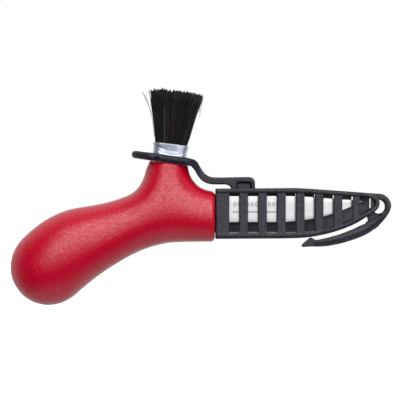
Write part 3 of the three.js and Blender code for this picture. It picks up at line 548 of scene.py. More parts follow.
def wood():
    n = Nodes("peg_beech")
    rings = n.noise(1.0, 5, 0.6, stretch=(260, 260, 30), distortion=0.4)
    flecks = n.noise(1.0, 2, 0.5, stretch=(1400, 1400, 160))
    color = n.mix(n.ramp(rings, 0.3, 0.7), (0.52, 0.33, 0.17), (0.68, 0.48, 0.28))
    color = n.mix(n.ramp(flecks, 0.55, 0.75, 0.0, 0.5), color, (0.36, 0.20, 0.09))
    return n.shade(color=color, rough=0.62, normal=n.bump(rings, 0.2, 0.0001))


def resin():
    n = Nodes("setting_resin")
    cloud = n.noise(400, 3)
    color = n.mix(n.ramp(cloud, 0.3, 0.7), (0.16, 0.08, 0.025), (0.26, 0.14, 0.05))
    return n.shade(color=color, rough=n.ramp(cloud, 0.3, 0.7, 0.2, 0.34), normal=n.bump(cloud, 0.2, 0.0001), coat=0.4, coat_rough=0.15)


def hair():
    n = Nodes("bristle_black_hair")
    a = n.t.nodes.new("ShaderNodeAttribute")
    a.attribute_name = "strand"
    streak = n.noise(1.0, 3, 0.6, stretch=(2500, 2500, 220))
    color = n.mix(n.ramp(streak, 0.4, 0.75, 0.0, 0.3), a.outputs["Color"], (0.018, 0.014, 0.015))
    return n.shade(color=color, rough=n.ramp(streak, 0.3, 0.7, 0.34, 0.52), spec=0.24, normal=n.bump(streak, 0.2, 0.00003))


RED = red_plastic()
BLACK = black_plastic("sheath_black_spark", deep=True)
CLIP_BLACK = black_plastic("clip_black_spark")
STRAP_BLACK = black_plastic("strap_black_satin", smooth=True)
STEEL, TIN, WOOD, RESIN, HAIR = blade_steel(), tinned(), wood(), resin(), hair()


# ------------------------------------------------------------------ handle
def membrane(outline, x, z, h, rounds=900):
    """Height field H with curvature -2 over the outline, and running downhill outside it."""
    X, Z = np.meshgrid(x, z, indexing="ij")
    sd = -poly_sdf(outline, X, Z)
    inside = sd > 1e-6
    inside[[0, -1], :] = False
    inside[:, [0, -1]] = False
    arm = {}
    for key, (di, dk) in {"l": (1, 0), "r": (-1, 0), "d": (0, 1), "u": (0, -1)}.items():
        other = np.roll(sd, (di, dk), (0, 1))
        arm[key] = np.where(other > 0, 1.0, np.clip(sd / np.where(other > 0, 1.0, sd - other), 0.05, 1.0)), other > 0
    (al, il), (ar, ir), (ad, idn), (au, iu) = arm["l"], arm["r"], arm["d"], arm["u"]
    wl, wr = 2 / (al * (al + ar)), 2 / (ar * (al + ar))
    wd, wu = 2 / (ad * (ad + au)), 2 / (au * (ad + au))
    total = wl + wr + wd + wu
    wl, wr, wd, wu = wl * il, wr * ir, wd * idn, wu * iu
    H = np.where(inside, 20.0, 0.0)
    parity = (np.add.outer(np.arange(len(x)), np.arange(len(z))) % 2).astype(bool)
    masks = [inside & parity, inside & ~parity]
    for it in range(rounds):
        for m in masks:
            s = wl * np.roll(H, 1, 0) + wr * np.roll(H, -1, 0) + wd * np.roll(H, 1, 1) + wu * np.roll(H, -1, 1)
            H = np.where(m, H + 1.94 * ((s + 2 * h * h) / total - H), H)
    # slope at the edge, carried outside
    near = inside & (sd > 0.15)
    q, n = np.zeros_like(H), np.zeros_like(H)
    ratio = np.where(near, H / np.maximum(sd, 0.1), 0)
    for a in range(-5, 6):
        for b in range(-5, 6):
            w = 1.0 / (1 + a * a + b * b)
            q += w * np.roll(ratio, (a, b), (0, 1))
            n += w * np.roll(near.astype(float), (a, b), (0, 1))
    slope = np.where(n > 0, q / np.maximum(n, 1e-9), 20)
    return np.where(inside, H, np.minimum(sd, 0) * slope)


def build_handle():
    h = 0.4
    x = np.arange(-99.5, 24.0, h)
    z = np.arange(-44.0, 48.0, h)
    H = membrane(smooth_closed(HANDLE_OUTLINE, 400), x, z, h)
    keep = x <= 6.6
    keepz = z <= 29.0
    x, H = x[keep], H[keep][:, keepz]
    z = z[keepz]
    y = np.arange(-18.0, 18.01, h)
    X, Y, Z = x[:, None, None], y[None, :, None], z[None, None, :]
    t = np.clip(-x / THICK_SPAN, 0, 1)
    k = THICK_FRONT + THICK_GROWTH * t * t * (3 - 2 * t)
    K = (k[:, None] ** 2) * H
    _, up = brush_coords(x[:, None] + 0 * z[None, :], z[None, :] + 0 * x[:, None])
    near = np.clip((up + 14) / 12, 0, 1)
    near = near * near * (3 - 2 * near)  # a rounder section towards the top of the neck
    K = np.where(K > 0, (80 - 10 * near) * (np.maximum(K, 1e-6) / 80) ** (1 + 0.24 * near), K)
    gx, gz = np.gradient(K, h)
    g = np.sqrt((gx**2 + gz**2)[:, None, :] + 4 * Y**2)
    body = (Y**2 - K[:, None, :]) / np.maximum(g, 1.0)
    u, w = brush_coords(X, Z)
    body = meet(body, X - HANDLE_FRONT_X, 1.9)
    body = meet(body, w - 0.12 + 0 * Y, 0.7)
    boss = box_field(X, Y, Z, -4, HANDLE_FRONT_X + 5.5, -3.0, 3.0, -7.7, 10.3, 0.7)
    body = join(body, boss, 0.5)
    a, b, p = 7.2 + 0.12, 4.85 + 0.12, 3.0
    socket = ((np.abs(u + 0.1) / a) ** p + (np.abs(Y) / b) ** p) ** (1 / p)
    socket = np.maximum((socket - 1) * b, -w - 6.9)
    body = cut(body, socket, 0.35)
    v, q = surface(body, [x, y, z])
    return new_object("handle_moulding", v, q, RED)


# ------------------------------------------------------------------ blade
def build_blade():
    top, low = np.array(BLADE_TOP), np.array(BLADE_BOTTOM)
    xs = np.concatenate([np.linspace(-41.8, -0.6, 30), np.linspace(-0.25, 60, 130), np.linspace(60.3, 69.45, 60), [69.55, 69.6]])
    rings = []
    for x in xs:
        if x < -0.4:  # tang
            zt = np.interp(x, [-42, -41, -3, -0.3], [2.0, 3.0, 7.4, 7.4])
            zl = np.interp(x, [-42, -41, -3, -0.3], [-1.6, -2.4, -1.4, -1.4])
            bevel, edge = 0.35, 0.75
        else:
            zt = np.interp(x, top[:, 0], top[:, 1])
            zl = np.interp(x, low[:, 0], low[:, 1]) - np.interp(x, [25, 44.5, 53, 62, 66], [0, 0.12, 0.24, 0.08, 0])
            slim = np.interp(x, [66.0, 68.0, 69.6], [1.0, 0.32, 0.25])
            zt, zl = (zt + zl) / 2 + (zt - zl) / 2 * slim, (zt + zl) / 2 - (zt - zl) / 2 * slim
            s = np.clip((x - 1.2) / 3.8, 0, 1)
            s = s * s * (3 - 2 * s)
            bevel = 0.35 + (10.0 - 0.35) * s
            edge = 0.75 + (0.05 - 0.75) * s
        deep = max(zt - zl, 0.02)
        half = 1.0
        if 0.8 * deep < bevel and x > 3:  # the grind reaches the spine: the blade thins towards its tip
            half = edge + (1.0 - edge) * 0.8 * deep / bevel
            bevel = 0.8 * deep
        r = min(0.28, 0.3 * deep, 0.5 * half)
        arc = np.linspace(0, math.pi / 2, 5)
        right = [(half - r + r * math.sin(a), zt - r + r * math.cos(a)) for a in arc]  # spine corner
        shoulder = zl + bevel
        right += [(half, zt - r - (zt - r - shoulder) * q) for q in (0.2, 0.4, 0.6, 0.8, 0.96)]
        right += [(half * 0.995, shoulder - 0.02 * bevel)]
        right += [(half + (edge - half) * q, shoulder + (zl - shoulder) * q) for q in (0.25, 0.5, 0.75, 0.97)]
        right += [(edge * 0.6, zl)]
        ring = [(yy, zz) for yy, zz in right] + [(-yy, zz) for yy, zz in right[::-1]]
        rings.append([(x, yy, zz) for yy, zz in ring])
    rings = np.array(rings)
    m, n = rings.shape[:2]
    v = rings.reshape(-1, 3)
    a = np.arange(m - 1)[:, None] * n
    i = np.arange(n)[None, :]
    j = (i + 1) % n
    quads = np.stack([a + i, a + n + i, a + n + j, a + j], -1).reshape(-1, 4)
    half = n // 2
    cap = []
    for base, flip in ((0, False), ((m - 1) * n, True)):
        for c in range(half - 1):
            q = [base + c, base + c + 1, base + n - 2 - c, base + n - 1 - c]
            cap.append(q[::-1] if flip else q)
    o = new_object("blade_ground", v, np.concatenate([quads, np.array(cap)]), STEEL)
    import bmesh
    bm = bmesh.new()
    bm.from_mesh(o.data)
    bmesh.ops.recalc_face_normals(bm, faces=bm.faces)
    bm.to_mesh(o.data)
    bm.free()
    for p in o.data.polygons:
        p.use_smooth = True
    o.data.set_sharp_from_angle(angle=math.radians(9))
    return o


# ------------------------------------------------------------------ brush
def superellipse(n, power=3.0):
    a = np.linspace(0, 2 * math.pi, n, endpoint=False)
    c, s = np.cos(a), np.sin(a)
    return np.sign(c) * np.abs(c) ** (2 / power), np.sign(s) * np.abs(s) ** (2 / power)


def loft_closed(rings):
    m, n = rings.shape[:2]
    i = np.arange(n)[None, :]
    j = (i + 1) % n
    a = (np.arange(m)[:, None]) * n
    b = ((np.arange(m)[:, None] + 1) % m) * n
    return np.stack([a + i, a + j, b + j, b + i], -1).reshape(-1, 4)


def build_ferrule():
    """A pressed tube, flared towards a rolled lip, with a shallow curved crimp on its faces."""
    cx, cy = superellipse(200, 3.0)
    rings = []

    def ring(w, off):
        u0, hu, hy = rows_at(FERRULE, min(w, 8.1))
        u = u0 + (hu + off) * cx
        rise = (0.40 + 0.18 * cx) * np.clip((w - 6.0) / 2.4, 0, 1)
        rings.append(np.stack([u, (hy + off) * cy, w + rise], -1))
    face = np.clip((np.abs(cy) - 0.55) / 0.35, 0, 1)
    ease = np.clip((cx * 8.0 - 1.2) / 3.4, 0, 1)
    full = 0.42 - 0.24 * ease * ease * (3 - 2 * ease) * face
    for w in np.concatenate([np.linspace(-6.6, 3.4, 12), np.linspace(3.6, 8.3, 36)]):
        u = cx * 8.0
        start = 5.9 + np.where(u < 1, 1.0, 0.25) * ((u - 1) / 7) ** 2
        flare = full * np.clip((w - start) / (8.3 - start), 0, 1)
        crimp = -0.055 * np.exp(-(((w - 4.1 - 0.9 * ((u - 0.5) / 5) ** 2) / 0.28) ** 2)) * face
        ring(w, flare + crimp)
    for a in np.linspace(-0.7, math.pi * 0.95, 13):
        ring(8.60 + 0.15 * math.sin(a), full - 0.14 + 0.15 * math.cos(a))
    for w in np.linspace(8.3, -6.3, 22):
        ring(w, -0.42)
    ring(-6.55, -0.40)
    v = brush_to_row(np.array(rings)).reshape(-1, 3)
    return new_object("ferrule_band", v, loft_closed(np.array(rings)), TIN)


def build_plug(name, w0, w1, mat, dome=0.0):
    cx, cy = superellipse(96, 3.0)
    rings = []
    edge = 0.3
    for w, s in [(w0, 0.0), (w0, 0.5), (w0, 0.94), (w0 + edge * 0.4, 0.985), (w0 + edge, 1.0), (w1 - edge, 1.0), (w1 - edge * 0.4, 0.985), (w1, 0.94), (w1 + dome * 0.6, 0.5), (w1 + dome, 0.0)]:
        u0, hu, hy = rows_at(FERRULE, (w0 + w1) / 2)
        rings.append(np.stack([u0 + (hu - 0.62) * s * cx, (hy - 0.62) * s * cy, np.full_like(cx, w)], -1))
    rings = np.array(rings)
    # first and last rings shrink to a point: keep one vertex each
    v = brush_to_row(rings[1:-1]).reshape(-1, 3)
    n = rings.shape[1]
    m = rings.shape[0] - 2
    i = np.arange(n)[None, :]
    j = (i + 1) % n
    a = np.arange(m - 1)[:, None] * n
    quads = np.stack([a + i, a + j, a + n + j, a + n + i], -1).reshape(-1, 4)
    ends = brush_to_row(np.array([rings[0, 0] * [1, 0, 1] * [0, 1, 1] + [rows_at(FERRULE, w0)[0], 0, 0], rings[-1, 0] * [0, 0, 1] + [rows_at(FERRULE, w1)[0], 0, 0]]))
    v = np.concatenate([v, ends])
    k = np.arange(n)
    l = (k + 1) % n
    low = np.stack([np.full(n, m * n), l, k], 1)
    high = np.stack([np.full(n, m * n + 1), (m - 1) * n + k, (m - 1) * n + l], 1)
    return new_object(name, v, [quads, np.concatenate([low, high])], mat)


def tubes(paths, radius, sides=3, phase=None):
    """Closed thin tubes along paths (n, k, 3) with radius (n, k)."""
    n, k = paths.shape[:2]
    t = np.gradient(paths, axis=1)
    t /= np.maximum(np.linalg.norm(t, axis=2, keepdims=True), 1e-9)
    ref = np.array([0.0, 1.0, 0.0])
    e1 = np.cross(t, ref)
    e1 /= np.maximum(np.linalg.norm(e1, axis=2, keepdims=True), 1e-9)
    e2 = np.cross(t, e1)
    phase = np.zeros(n) if phase is None else phase
    rings = []
    for s in range(sides):
        a = phase[:, None, None] + 2 * math.pi * s / sides
        rings.append(paths + radius[..., None] * (np.cos(a) * e1 + np.sin(a) * e2))
    v = np.stack(rings, 2).reshape(-1, 3)  # n, k, sides
    base = (np.arange(n)[:, None, None] * k + np.arange(k - 1)[None, :, None]) * sides
    s = np.arange(sides)[None, None, :]
    s2 = (s + 1) % sides
    quads = np.stack([base + s, base + s2, base + sides + s2, base + sides + s], -1).reshape(-1, 4)
    first = np.arange(n)[:, None] * k * sides
    caps = np.concatenate([first + np.arange(sides)[None, ::-1], first + (k - 1) * sides + np.arange(sides)[None, :]])
    return v, quads, caps


def build_tuft():
    count = 5200
    a, b = rng.uniform(-1, 1, (2, count * 2))
    ok = np.abs(a) ** 3 + np.abs(b) ** 3 < 0.985
    a, b = a[ok][:count], b[ok][:count]
    count = len(a)
    # clumps: strands lean towards a nearby clump centre at their tips
    centres = rng.uniform(-1, 1, (430, 2))
    d = (a[:, None] - centres[None, :, 0]) ** 2 + (b[:, None] - centres[None, :, 1]) ** 2 * 0.6
    near = centres[d.argmin(1)]
    pull = rng.uniform(0.3, 0.85, count)
    tip_a = a + (near[:, 0] - a) * pull + rng.normal(0, 0.022, count)
    tip_b = b + (near[:, 1] - b) * pull + rng.normal(0, 0.03, count)
    over = np.maximum(1, (np.abs(tip_a) ** 3 + np.abs(tip_b) ** 3) ** (1 / 3) / 1.01)
    tip_a, tip_b = tip_a / over, tip_b / over
    clump_len = rng.normal(0, 0.42, len(centres))[d.argmin(1)]
    jag = np.interp(tip_a, np.linspace(-1.1, 1.1, 84), rng.normal(0, 0.32, 84))  # the trimmed end is ragged
    end = 33.75 + 0.40 * tip_a + 0.25 * (1 - tip_a**2) - 0.5 * np.clip((-tip_a - 0.8) / 0.2, 0, 1) - 0.75 * np.maximum(tip_a - 0.35, 0) ** 2 * 1.6 + clump_len + rng.normal(0, 0.22, count) + jag
    short = rng.random(count) < 0.05
    end[short] -= rng.uniform(1, 5, short.sum())
    k = 9
    s = np.linspace(0, 1, k)[None, :]
    w = 4.4 + (end[:, None] - 4.4) * s
    u0, hu, hy = rows_at(TUFT, w)
    bend = s**1.6
    aa = a[:, None] + (tip_a - a)[:, None] * bend
    bb = b[:, None] + (tip_b - b)[:, None] * bend
    wave_u = rng.normal(0, 0.10, count)[:, None] * np.sin(s * math.pi * rng.uniform(0.8, 2.4, count)[:, None] + rng.uniform(0, 6, count)[:, None]) * s
    wave_y = rng.normal(0, 0.10, count)[:, None] * np.sin(s * math.pi * rng.uniform(0.8, 2.4, count)[:, None] + rng.uniform(0, 6, count)[:, None]) * s
    u = u0 + aa * (hu - 0.12) + wave_u
    y = bb * (hy - 0.12) + wave_y
    paths = np.stack([u, y, w], -1)
    thick = rng.uniform(0.062, 0.095, count)
    colors = np.tile(np.array([0.0038, 0.0034, 0.0042]), (count, 1)) * rng.uniform(0.6, 1.6, (count, 1))
    brown = rng.random(count) < 0.16
    colors[brown] = np.array([0.0085, 0.0048, 0.0056]) * rng.uniform(0.6, 1.4, (brown.sum(), 1))
    grey = rng.random(count) < 0.03
    colors[grey] = np.array([0.040, 0.040, 0.042]) * rng.uniform(0.6, 1.3, (grey.sum(), 1))
    extra = []  # (points u, y, w; radius; colour)

    def px(x, y):  # a place on the front face, given in X and Z
        uu, ww = brush_coords(x, y)
        return uu, ww

    def strand(points, r, c):
        pts = np.array(points, float)
        q = np.linspace(0, 1, len(pts))
        tt = np.linspace(0, 1, k)
        path = np.stack([np.interp(tt, q, pts[:, d]) for d in range(3)], -1)
        if len(pts) > 2:  # ease the bends
            for _ in range(2):
                path[1:-1] = 0.25 * path[:-2] + 0.5 * path[1:-1] + 0.25 * path[2:]
        extra.append((path, r, c))

    # strays on the upper left, a curl on the right, a pale strand and a russet one on the front
    def at(x, z, y):
        uu, ww = px(x, z)
        return [uu, y, ww]
    dark = (0.03, 0.024, 0.026)
    strand([at(-29.1, 38.0, -1.0), at(-29.55, 44.0, -1.1), at(-30.3, 49.0, -1.2), at(-32.0, 53.6, -1.0), at(-33.6, 56.4, -0.9), at(-34.9, 59.4, -0.8)], 0.115, dark)
    strand([at(-29.2, 40.0, -1.6), at(-29.7, 45.5, -1.8), at(-30.6, 50.0, -2.0), at(-31.9, 53.5, -2.1), at(-33.2, 56.0, -2.2), at(-34.2, 58.6, -2.2)], 0.085, dark)
    strand([at(-29.4, 42.0, 0.5), at(-30.2, 47.5, 0.6), at(-31.6, 52.0, 0.8), at(-32.5, 55.6, 1.0), at(-33.0, 59.5, 1.3)], 0.07, (0.05, 0.042, 0.045))
    strand([at(-29.9, 50.0, -2.5), at(-30.6, 55.0, -2.6), at(-31.3, 58.2, -2.6), at(-31.9, 60.0, -2.6)], 0.08, dark)
    strand([at(-29.9, 51.0, 1.5), at(-30.3, 55.5, 1.6), at(-30.6, 58.9, 1.6), at(-30.9, 61.2, 1.6)], 0.075, dark)
    strand([at(-7.9, 49.0, -1.0), at(-7.0, 53.5, -1.2), at(-6.2, 56.4, -1.3), at(-6.1, 57.4, -1.3), at(-6.7, 58.1, -1.2), at(-7.4, 57.6, -1.1), at(-7.3, 56.6, -1.1)], 0.14, dark)
    strand([at(-7.6, 47.0, 0.8), at(-6.7, 52.0, 0.9), at(-6.0, 55.6, 1.0), at(-5.9, 57.2, 1.0)], 0.10, dark)
    strand([at(-12.3, 36.5, -2.6), at(-10.4, 44.0, -2.8), at(-8.2, 51.0, -2.9), at(-6.9, 55.8, -2.8)], 0.10, (0.05, 0.045, 0.05))
    strand([at(-11.8, 38.5, 1.5), at(-9.9, 45.0, 1.6), at(-8.0, 50.5, 1.7), at(-7.2, 53.5, 1.7)], 0.09, (0.05, 0.045, 0.05))
    strand([at(-24.2, 34.4, -4.75), at(-24.2, 40.0, -5.15), at(-24.3, 46.0, -5.75), at(-24.15, 51.5, -6.25)], 0.125, (0.11, 0.112, 0.112))
    strand([at(-21.5, 35.4, -4.7), at(-21.3, 37.3, -4.85), at(-20.6, 39.2, -5.05), at(-19.9, 40.8, -5.15), at(-19.6, 42.2, -5.2)], 0.065, (0.10, 0.034, 0.018))
    strand([at(-24.4, 40.7, -5.25), at(-22.6, 40.95, -5.4), at(-20.8, 40.95, -5.4), at(-18.8, 40.75, -5.3)], 0.04, (0.11, 0.04, 0.025))
    for _ in range(60):  # loose strands just off the tuft
        th = rng.uniform(0, 2 * math.pi)
        ca, sb = math.cos(th), math.sin(th)
        out = rng.uniform(1.0, 1.06)
        start = rng.uniform(10, 20)
        pts = []
        for q in np.linspace(0, 1, 5):
            w_ = start + (rng.uniform(31, 33.6) - start) * q if q == 1 else start + (33 - start) * q
            u0_, hu_, hy_ = rows_at(TUFT, w_)
            f = (0.97 + (out - 0.97) * q**1.5) / (abs(ca) ** 3 + abs(sb) ** 3) ** (1 / 3)
            pts.append([u0_ + hu_ * ca * f, hy_ * sb * f, w_])
        strand(pts, rng.uniform(0.06, 0.09), (0.02, 0.016, 0.018))
    paths = np.concatenate([paths, np.array([e[0] for e in extra])])
    thick = np.concatenate([thick, [e[1] for e in extra]])
    colors = np.concatenate([colors, np.array([e[2] for e in extra])])
    n = len(paths)
    radius = thick[:, None] * np.interp(np.linspace(0, 1, k), [0, 0.85, 1.0], [1.0, 0.95, 0.55])[None, :]
    v, quads, caps = tubes(paths, radius, 4, rng.uniform(0, 6, n))
    o = new_object("bristle_strands", brush_to_row(v), [quads, caps], HAIR)
    attribute = o.data.color_attributes.new("strand", "FLOAT_COLOR", "POINT")
    per = np.repeat(colors, k * 4, axis=0)
    attribute.data.foreach_set("color", np.concatenate([per, np.ones((len(per), 1))], 1).astype(np.float32).ravel())
    return o


# ------------------------------------------------------------------ sheath
BAR_LEFT = [0.47, 0.47, 0.47, 0.46, 0.45, 0.34, 0.26]
BAR_STEP = [0.08, 0.08, 0.08, 0.10, 0.12, 0.16, 0.16]


def build_sheath():
    h = 0.2
    axes, (X, Y, Z) = grid((-0.9, -6.3, -11.8), (78.6, 6.3, 14.2), h)
    XX, ZZ = np.meshgrid(axes[0], axes[2], indexing="ij")
    d_out = poly_sdf(smooth_closed(SHEATH_OUTER, 220), XX, ZZ)
    d_in = poly_sdf(smooth_closed(SHEATH_INNER, 200), XX, ZZ)
    mouth = MOUTH_X0 - XX
    outer = meet(d_out, mouth, 0.35)
    rim2 = np.maximum(outer, -d_in)
    i3, r3 = d_in[:, None, :], rim2[:, None, :]
    lower = np.interp(ZZ, [-2, 2], [1.0, 0.0])[:, None, :]
    under = meet(extrude(outer[:, None, :], Y, HALF_Y, 1.6), -i3, 0.45)
    rim = extrude(r3, Y, HALF_Y, 0.8) * (1 - lower) + under * lower

    def bar(x0, x1, y0, y1, r):  # an upright plate with rounded edges
        qx = np.abs(X - (x0 + x1) / 2) - (x1 - x0) / 2 + r
        qy = np.abs(Y - (y0 + y1) / 2) - (y1 - y0) / 2 + r
        return np.sqrt(np.maximum(qx, 0) ** 2 + np.maximum(qy, 0) ** 2) + np.minimum(np.maximum(qx, qy), 0) - r
    inside = (d_out + 0.9)[:, None, :]  # walls end inside the rim
    walls = bar(MOUTH_X0, MOUTH_X1, -WALL_OUT, -WALL_IN, 0.2)
    walls = meet(walls, (MOUTH_X0 - X) * 0.8 - (Y + WALL_OUT) * 0.6 + 0.28, 0.3)
    walls = np.minimum(walls, bar(MOUTH_X0, MOUTH_X1 - 1.2, WALL_IN, WALL_OUT, 0.3))
    for i in range(BARS):
        x = BAR_X0 + i * BAR_PITCH
        left, step = BAR_LEFT[i], BAR_STEP[i]
        one = bar(x - left, x + BAR_W - (0.75 if i == BARS - 1 else 0), -WALL_OUT, -WALL_IN, 0.2)
        one = np.maximum(one, np.minimum(x - step - X, np.maximum(x - left - X, -(Y + WALL_OUT - 0.9))))  # a step down along the left side
        walls = np.minimum(walls, one)
    for i in range(BARS + 1):
        x = BAR_X0 + i * BAR_PITCH + BACK_BAR_OFFSET
        walls = np.minimum(walls, bar(x, x + BACK_BAR_W - (0.37 if i == BARS else 0), WALL_IN, WALL_OUT, 0.25))
    behind = np.maximum(WALL_IN - Y, Y - WALL_OUT)
    sill = poly_sdf(BACK_SILL + [[0, -20]], XX, ZZ)[:, None, :]
    walls = join(walls, meet(sill, behind, 0.25), 0.2)  # closed below the cutting edge
    walls = join(walls, meet(BACK_FRAME_X - X + 0 * Z, behind, 0.25), 0.2)  # and round the tip
    walls = np.maximum(walls, inside)
    # a sloping ledge along the lower inner edge of the windows
    t = -i3
    bottom = (ZZ < np.interp(XX, [0, 40, 60, 75], [0, 0, 3.0, 7.0]))[:, None, :]
    ledge = np.maximum(t - 0.15 - 0.2857 * (5.0 - np.abs(Y)), np.abs(np.abs(Y) - 3.95) - 1.05)
    ledge = np.where(bottom & (X < 71), np.maximum(ledge, np.maximum(inside, MOUTH_X1 - 0.5 - X)), 9.0)
    body = join(rim, walls, 0.25)
    body = join(body, ledge, 0.1)
    v, q = surface(body, axes)
    return new_object("sheath_moulding", v, q, BLACK)


def build_loop_clip():
    """The hang loop, its web and the springy clip, one continuous form."""
    h = 0.2
    axes, (X, Y, Z) = grid((40.0, -3.9, -15.6), (84.2, 3.9, 11.6), h)
    XX, ZZ = np.meshgrid(axes[0], axes[2], indexing="ij")
    d_loop = poly_sdf(smooth_closed(LOOP_OUTER, 200), XX, ZZ)
    d_hole = poly_sdf(smooth_closed(LOOP_HOLE, 120), XX, ZZ)
    d_web = poly_sdf(ease_corners(WEB, 0.4), XX, ZZ)
    d_in = poly_sdf(smooth_closed(SHEATH_OUTER, 200), XX, ZZ) + 0.9
    d_clip = poly_sdf(ease_corners(CLIP, 1.2), XX, ZZ)
    zone = poly_sdf(ease_corners(WEB_ZONE, 0.35), XX, ZZ)
    loop2 = np.maximum(np.maximum(d_loop, -d_hole), -zone)
    flat = join(loop2, np.maximum(d_clip, -zone), 0.3)
    flat = np.maximum(flat, -d_in)
    f3 = flat[:, None, :]
    # the loop is softly rounded; the clip is a rib standing on a thinner flange along its outer edge
    line = CLIP[15:] + [[78.3, -3.6], [80.35, -1.25], [82.2, 1.6]]
    s = line_distance(line, XX, ZZ)
    rib = np.interp(s, [0, 0.3, 1.15, 2.0, 2.5, 3.1, 3.7, 4.4, 6], [1.95, 2.1, 2.18, 3.1, 3.2, 3.14, 2.95, 2.6, 2.6])
    slope = np.interp(s, [0, 0.3, 1.15, 1.25, 1.9, 2.1, 3.2, 3.8, 4.4, 6], [0.5, 0.1, 0.1, 1.1, 1.1, 0.2, 0.1, 0.35, 0.4, 0.1])
    ribbed = np.maximum(extrude(f3, Y, LOOP_HALF_Y, 0.35), ((np.abs(Y) - rib[:, None, :]) / np.sqrt(1 + slope**2)[:, None, :]))
    part = np.interp(XX, [48, 60], [0.0, 1.0])[:, None, :]
    soft = extrude(f3, Y, LOOP_HALF_Y, 1.2) * part + extrude(f3, Y, LOOP_HALF_Y, 0.55) * (1 - part)
    k = np.interp(XX, [45.5, 49.5, 77.0, 81.0], [1.0, 0.0, 0.0, 1.0])[:, None, :]
    body = soft * k + ribbed * (1 - k)
    plate = np.minimum(d_web, np.maximum(zone - 0.3, 73.2 - XX))
    web = np.maximum(extrude(plate[:, None, :], Y, WEB_HALF_Y, 0.3), (-d_in)[:, None, :])
    web = np.maximum(web, (-d_hole)[:, None, :])
    body = join(body, web, 0.3)
    v, q = surface(body, axes)
    return new_object("loop_and_clip", v, q, CLIP_BLACK)


def build_strap():
    """Bracket, S-shaped strap and ring, one continuous form."""
    h = 0.22
    axes, (X, Y, Z) = grid((-41.6, -9.7, 11.6), (19.6, 9.7, 32.2), h)
    XX, ZZ = np.meshgrid(axes[0], axes[2], indexing="ij")
    d_bar = poly_sdf(ease_corners(STRAP, 1.2), XX, ZZ)[:, None, :]
    d_rec = poly_sdf(ease_corners(RECESS, 0.6), XX, ZZ)[:, None, :]
    spread = np.interp(axes[0], *STRAP_SPREAD)[:, None, None]
    bar = extrude(d_bar, np.maximum(np.abs(Y) - spread, 0), STRAP_HALF_Y, 0.75)
    pocket = meet(d_rec * 0.9 + 0.45 * (STRAP_HALF_Y - np.abs(Y)), 3.1 - np.abs(Y), 0.25)  # shallow, with sloping walls
    bar = cut(bar, pocket, 0.2)
    u, w = brush_coords(X, Z)
    r = RING
    plan = smooth_closed([
        [r["left"], 0], [r["left"] + 0.5, 2.6], [r["left"] + 2.3, 5.0], [r["left"] + 5.5, 7.3], [r["left"] + 9.5, r["half_y"] - 0.15], [-2, r["half_y"]], [4, r["half_y"] - 0.5],
        [7.0, 8.9], [9.2, 8.2], [r["right"] + 0.7, 6.6], [r["right"] + 0.9, 2.5], [r["right"] + 0.9, -2.5], [r["right"] + 0.7, -6.6], [9.2, -8.2], [7.0, -8.9], [4, -r["half_y"] + 0.5], [-2, -r["half_y"]],
        [r["left"] + 9.5, -r["half_y"] + 0.15], [r["left"] + 5.5, -7.3], [r["left"] + 2.3, -5.0], [r["left"] + 0.5, -2.6],
    ], 160)
    # the plan lies in (u, y): read it from a table
    ut, yt = np.arange(-20, 16, 0.15), np.arange(-11, 11, 0.15)
    UT, YT = np.meshgrid(ut, yt, indexing="ij")
    table = poly_sdf(plan, UT, YT)
    mid, half = (r["hole_left"] + r["hole_right"]) / 2, (r["hole_right"] - r["hole_left"]) / 2
    hole = (((np.abs(UT - mid) / half) ** 3.2 + (np.abs(YT) / r["hole_half_y"]) ** 3.2) ** (1 / 3.2) - 1) * r["hole_half_y"]
    ring2 = np.maximum(table, -hole)
    U = np.broadcast_to(u, (len(axes[0]), 1, len(axes[2])))
    shape = (len(axes[0]), len(axes[1]), len(axes[2]))
    iu = np.clip((np.broadcast_to(U, shape) - ut[0]) / 0.15, 0, len(ut) - 1.001)
    iy = np.clip((np.broadcast_to(Y, shape) - yt[0]) / 0.15, 0, len(yt) - 1.001)
    a, b = iu.astype(int), iy.astype(int)
    fu, fy = iu - a, iy - b

    def read(T):
        return (1 - fu) * (1 - fy) * T[a, b] + fu * (1 - fy) * T[a + 1, b] + (1 - fu) * fy * T[a, b + 1] + fu * fy * T[a + 1, b + 1]
    d_ring, d_hole = read(ring2), read(hole)
    plate = extrude(d_ring, w - (r["w0"] + r["w1"]) / 2, (r["w1"] - r["w0"]) / 2, 1.6)
    body = join(plate, bar, 0.5)
    body = np.maximum(body, -d_hole)
    body = np.maximum(body, -(w - r["w0"]) * (u < 11) - 50 * (u >= 11))
    v, q = surface(body, axes)
    return new_object("strap_and_ring", v, q, STRAP_BLACK)


handle = build_handle()
blade = build_blade()
ferrule = build_ferrule()
peg = build_plug("brush_plug", -6.4, 0.3, WOOD)
setting = build_plug("setting_pour", 0.8, 3.6, RESIN, 0.15)
tuft = build_tuft()
sheath = build_sheath()
loop = build_loop_clip()
strap = build_strap()

for o, node, slot in ((handle, "handle", "handle_red"), (blade, "blade", "blade_steel"), (ferrule, "brush_ferrule", "ferrule_tin"), (peg, "brush_peg", "brush_wood"),
                      (setting, "bristle_setting", "brush_resin"), (tuft, "bristle_tuft", "bristle_hair")):
    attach(o, "knife")
    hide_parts(node)
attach(sheath, "sheath")
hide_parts("sheath_body")
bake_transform(strap)
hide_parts("retaining_strap")
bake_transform(loop)
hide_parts("belt_clip")


